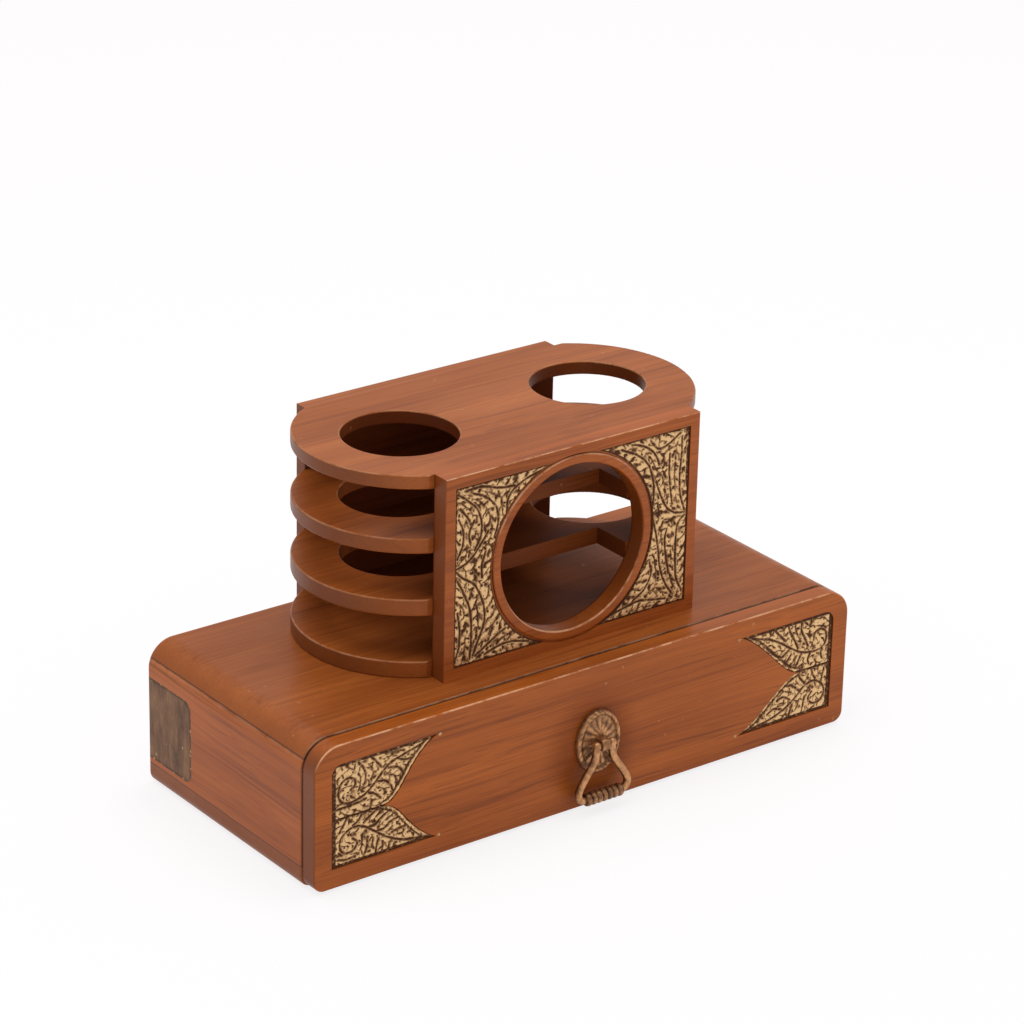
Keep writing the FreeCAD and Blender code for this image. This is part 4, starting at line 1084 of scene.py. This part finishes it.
class PENSTAND_OT_holder(bpy.types.Operator):
    """Lacquered plates and shelves of the holder, its dowels and screws."""

    bl_idname = "penstand.holder"
    bl_label = "Holder"

    def execute(self, context):
        wood = context.scene.pen_stand_wood
        # Painted shade inside the holder, where little light reaches: the shelves darken inwards from their open
        # ends, the wells' walls darken, and so do the plates' inner faces, over the last 0.8 mm of the plates.
        inside = (((SHELF_X, None, None), 72.0, 38.0, 0.60),)
        wells = tuple(((x, y, None), 23.6, 22.8, 0.5) for x, y in WELL_CENTRES)
        front_inside = ((None, PLATE_FRONT_Y, None),
                        FRONT_PLATE_THICKNESS - 0.8, FRONT_PLATE_THICKNESS - 0.1, 0.8)
        back_inside = ((None, BACK_Y, None),
                       BACK_PLATE_THICKNESS - 0.8, BACK_PLATE_THICKNESS - 0.1, 0.8)
        for number, name in enumerate(("floor", "lower", "upper", "top")):
            give("holder_" + name + "_shelf",
                 sheesham("sheesham_" + name + "_shelf", wood, "X", (90 * number, 48 + 9 * number, 77), 1.0,
                          shades=inside + wells if name == "top" else inside))
        give("holder_front_plate",
             sheesham("sheesham_front_plate", wood, "X", (400, 84, 55), (1.0, 0.92, 0.8), face="Y", wear=0.9,
                      shades=(front_inside,)))
        give("holder_back_plate",
             sheesham("sheesham_back_plate", wood, "X", (500, 57, 90), 1.0, face="Y", wear=0.6,
                      shades=(back_inside,)))
        give("shelf_dowels", sheesham("beech_shelf_dowels", wood, "Y", (0, 30, 60), 1.5, 0.0))
        give("holder_screws", zinc_steel("zinc_holder_screws"))
        return {"FINISHED"}


class PENSTAND_OT_window_inlays(bpy.types.Operator):
    """Embossed brass fields beside the round window."""

    bl_idname = "penstand.window_inlays"
    bl_label = "Window inlays"

    def execute(self, context):
        brass = context.scene.pen_stand_brass
        material = embossed_brass("embossed_brass_window", brass)
        for side, sign in (("left", -1), ("right", 1)):
            away, z, height = window_height(side, brass)
            name = "window_foliage_" + side
            parts = stamped_sheet(WINDOW_X + sign * away, z, height, PLATE_FRONT_Y + SHEET_FRONT_DEPTH,
                                  PLATE_FRONT_Y + SHEET_BACK_DEPTH, brass.relief)
            place_piece(name, make_mesh(name, *parts), material, "case",
                        ("window_inlay_" + side,), 180)
        return {"FINISHED"}


class PENSTAND_OT_corner_plates(bpy.types.Operator):
    """Tarnished brass angles at the rear corners."""

    bl_idname = "penstand.corner_plates"
    bl_label = "Corner plates"

    def execute(self, context):
        for side in ("left", "right"):
            node = "rear_" + side + "_corner_plate"
            low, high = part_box(node)
            outer_x = low.x if side == "left" else high.x
            give(node, aged_sheet("tarnished_brass_" + side, low, high, outer_x))
        return {"FINISHED"}


class PENSTAND_OT_drawer(bpy.types.Operator):
    """Lacquered drawer front and the plain box behind it."""

    bl_idname = "penstand.drawer"
    bl_label = "Drawer"

    def execute(self, context):
        wood = context.scene.pen_stand_wood
        # Darker round the pull, a little to its left and below: the pull's painted shadow, and dirt from fingers.
        handled = ((PULL_X - 3.0, None, PULL_Z - 3.0), 26.0, 11.0, 0.4)
        # The line at the front's back face is painted shade in its seam with the case.
        give("drawer_front",
             sheesham("sheesham_drawer_front", wood, "X", (0, 61, 79), (1.04, 0.96, 0.66), face="Y",
                      wear=0.95, joints=(("Y", FRONT_BACK_Y, 0.4),), shades=(handled,)))
        give("drawer_left_side", sheesham("plain_drawer_left", wood, "Y", (30, 81, 50), 1.15, 0.0))
        give("drawer_right_side", sheesham("plain_drawer_right", wood, "Y", (130, 55, 91), 1.15, 0.0))
        give("drawer_back", sheesham("plain_drawer_back", wood, "X", (230, 66, 74), 1.15, 0.0))
        give("drawer_bottom", sheesham("plain_drawer_bottom", wood, "X", (330, 95, 120), 1.25, 0.0))
        give("drawer_dowels", sheesham("beech_drawer_dowels", wood, "Y", (0, 30, 60), 1.5, 0.0))
        return {"FINISHED"}


class PENSTAND_OT_leaf_inlays(bpy.types.Operator):
    """Embossed brass leaves at the ends of the drawer front, and the pins at their tips."""

    bl_idname = "penstand.leaf_inlays"
    bl_label = "Leaf inlays"

    def execute(self, context):
        brass = context.scene.pen_stand_brass
        material = embossed_brass("embossed_brass_leaf", brass)
        for side, sign in (("left", -1), ("right", 1)):
            for level in ("upper", "lower"):
                inset, z, height = leaf_height(side, level, brass)
                name = "leaf_foliage_" + level + "_" + side
                node = "leaf_inlay_" + level + "_" + side
                parts = stamped_sheet(sign * (END_X - inset), z, height, FRONT_Y + SHEET_FRONT_DEPTH,
                                      FRONT_Y + SHEET_BACK_DEPTH, brass.relief)
                place_piece(name, make_mesh(name, *parts), material, "drawer", (node,), 180)
        give("leaf_tip_pins", embossed_brass("embossed_brass_pins", brass, 0.55))
        return {"FINISHED"}


class PENSTAND_OT_pull(bpy.types.Operator):
    """Oval plate, lug, washer and nut of the drop pull."""

    bl_idname = "penstand.pull"
    bl_label = "Pull"

    def execute(self, context):
        pull = context.scene.pen_stand_pull
        material = antique_brass("antique_cast_brass_plate", pull)
        mesh = make_mesh("pull_oval_plate", *pull_plate_surface(pull))
        place_piece("pull_oval_plate", mesh, material, "drawer", ("pull_backplate",), 60)
        give("pull_stem", antique_brass("antique_cast_brass_lug", pull, 0.62))
        steel = zinc_steel("zinc_pull_fixing")
        give("pull_washer", steel)
        give("pull_nut", steel)
        return {"FINISHED"}


class PENSTAND_OT_bail(bpy.types.Operator):
    """Swinging bail with its beaded grip."""

    bl_idname = "penstand.bail"
    bl_label = "Bail"

    def execute(self, context):
        pull = context.scene.pen_stand_pull
        material = antique_brass("antique_cast_brass_bail", pull)
        pivot = np.array([PULL_X, PIVOT_Y, PULL_Z])
        parts = bail_side(-1, pivot) + bail_side(1, pivot) + [bail_grip(pull, pivot)]
        mesh = make_mesh("pull_beaded_bail", *join_parts(parts))
        place_piece("pull_beaded_bail", mesh, material, "bail", ("pull_bail",), 50)
        return {"FINISHED"}


class PENSTAND_OT_stage(bpy.types.Operator):
    """Floor, lamps, white surroundings and camera."""

    bl_idname = "penstand.stage"
    bl_label = "Stage"

    def execute(self, context):
        stage = context.scene.pen_stand_stage
        make_floor(stage)
        make_sky(stage)
        make_lamps(stage)
        make_camera(stage)
        return {"FINISHED"}


OPERATORS = (PENSTAND_OT_case, PENSTAND_OT_holder, PENSTAND_OT_window_inlays, PENSTAND_OT_corner_plates,
             PENSTAND_OT_drawer, PENSTAND_OT_leaf_inlays, PENSTAND_OT_pull, PENSTAND_OT_bail,
             PENSTAND_OT_stage)
GROUPS = {"pen_stand_wood": PenStandWood, "pen_stand_brass": PenStandBrass, "pen_stand_pull": PenStandPull,
          "pen_stand_stage": PenStandStage}


class PENSTAND_PT_panel(bpy.types.Panel):
    """Sizes, colours and pieces of the pen stand."""

    bl_idname = "PENSTAND_PT_panel"
    bl_label = "Pen stand"
    bl_space_type = "VIEW_3D"
    bl_region_type = "UI"
    bl_category = "Pen stand"

    def draw(self, context):
        for name, group in GROUPS.items():
            box = self.layout.box()
            for prop in group.__annotations__:
                box.prop(getattr(context.scene, name), prop)
        for operator in OPERATORS:
            self.layout.operator(operator.bl_idname)


def register():
    """Registers every class and gives the scene its groups of sizes and colours."""
    for group in GROUPS.values():
        bpy.utils.register_class(group)
    for name, group in GROUPS.items():
        setattr(bpy.types.Scene, name, bpy.props.PointerProperty(type=group))
    for operator in OPERATORS:
        bpy.utils.register_class(operator)
    bpy.utils.register_class(PENSTAND_PT_panel)


def unregister():
    """Takes back what register did."""
    bpy.utils.unregister_class(PENSTAND_PT_panel)
    for operator in reversed(OPERATORS):
        bpy.utils.unregister_class(operator)
    for name in GROUPS:
        delattr(bpy.types.Scene, name)
    for group in reversed(list(GROUPS.values())):
        bpy.utils.unregister_class(group)


def main():
    """Makes every piece in order."""
    register()
    for operator in OPERATORS:
        area, _, name = operator.bl_idname.partition(".")
        getattr(getattr(bpy.ops, area), name)()


if __name__ == "__main__":
    main()
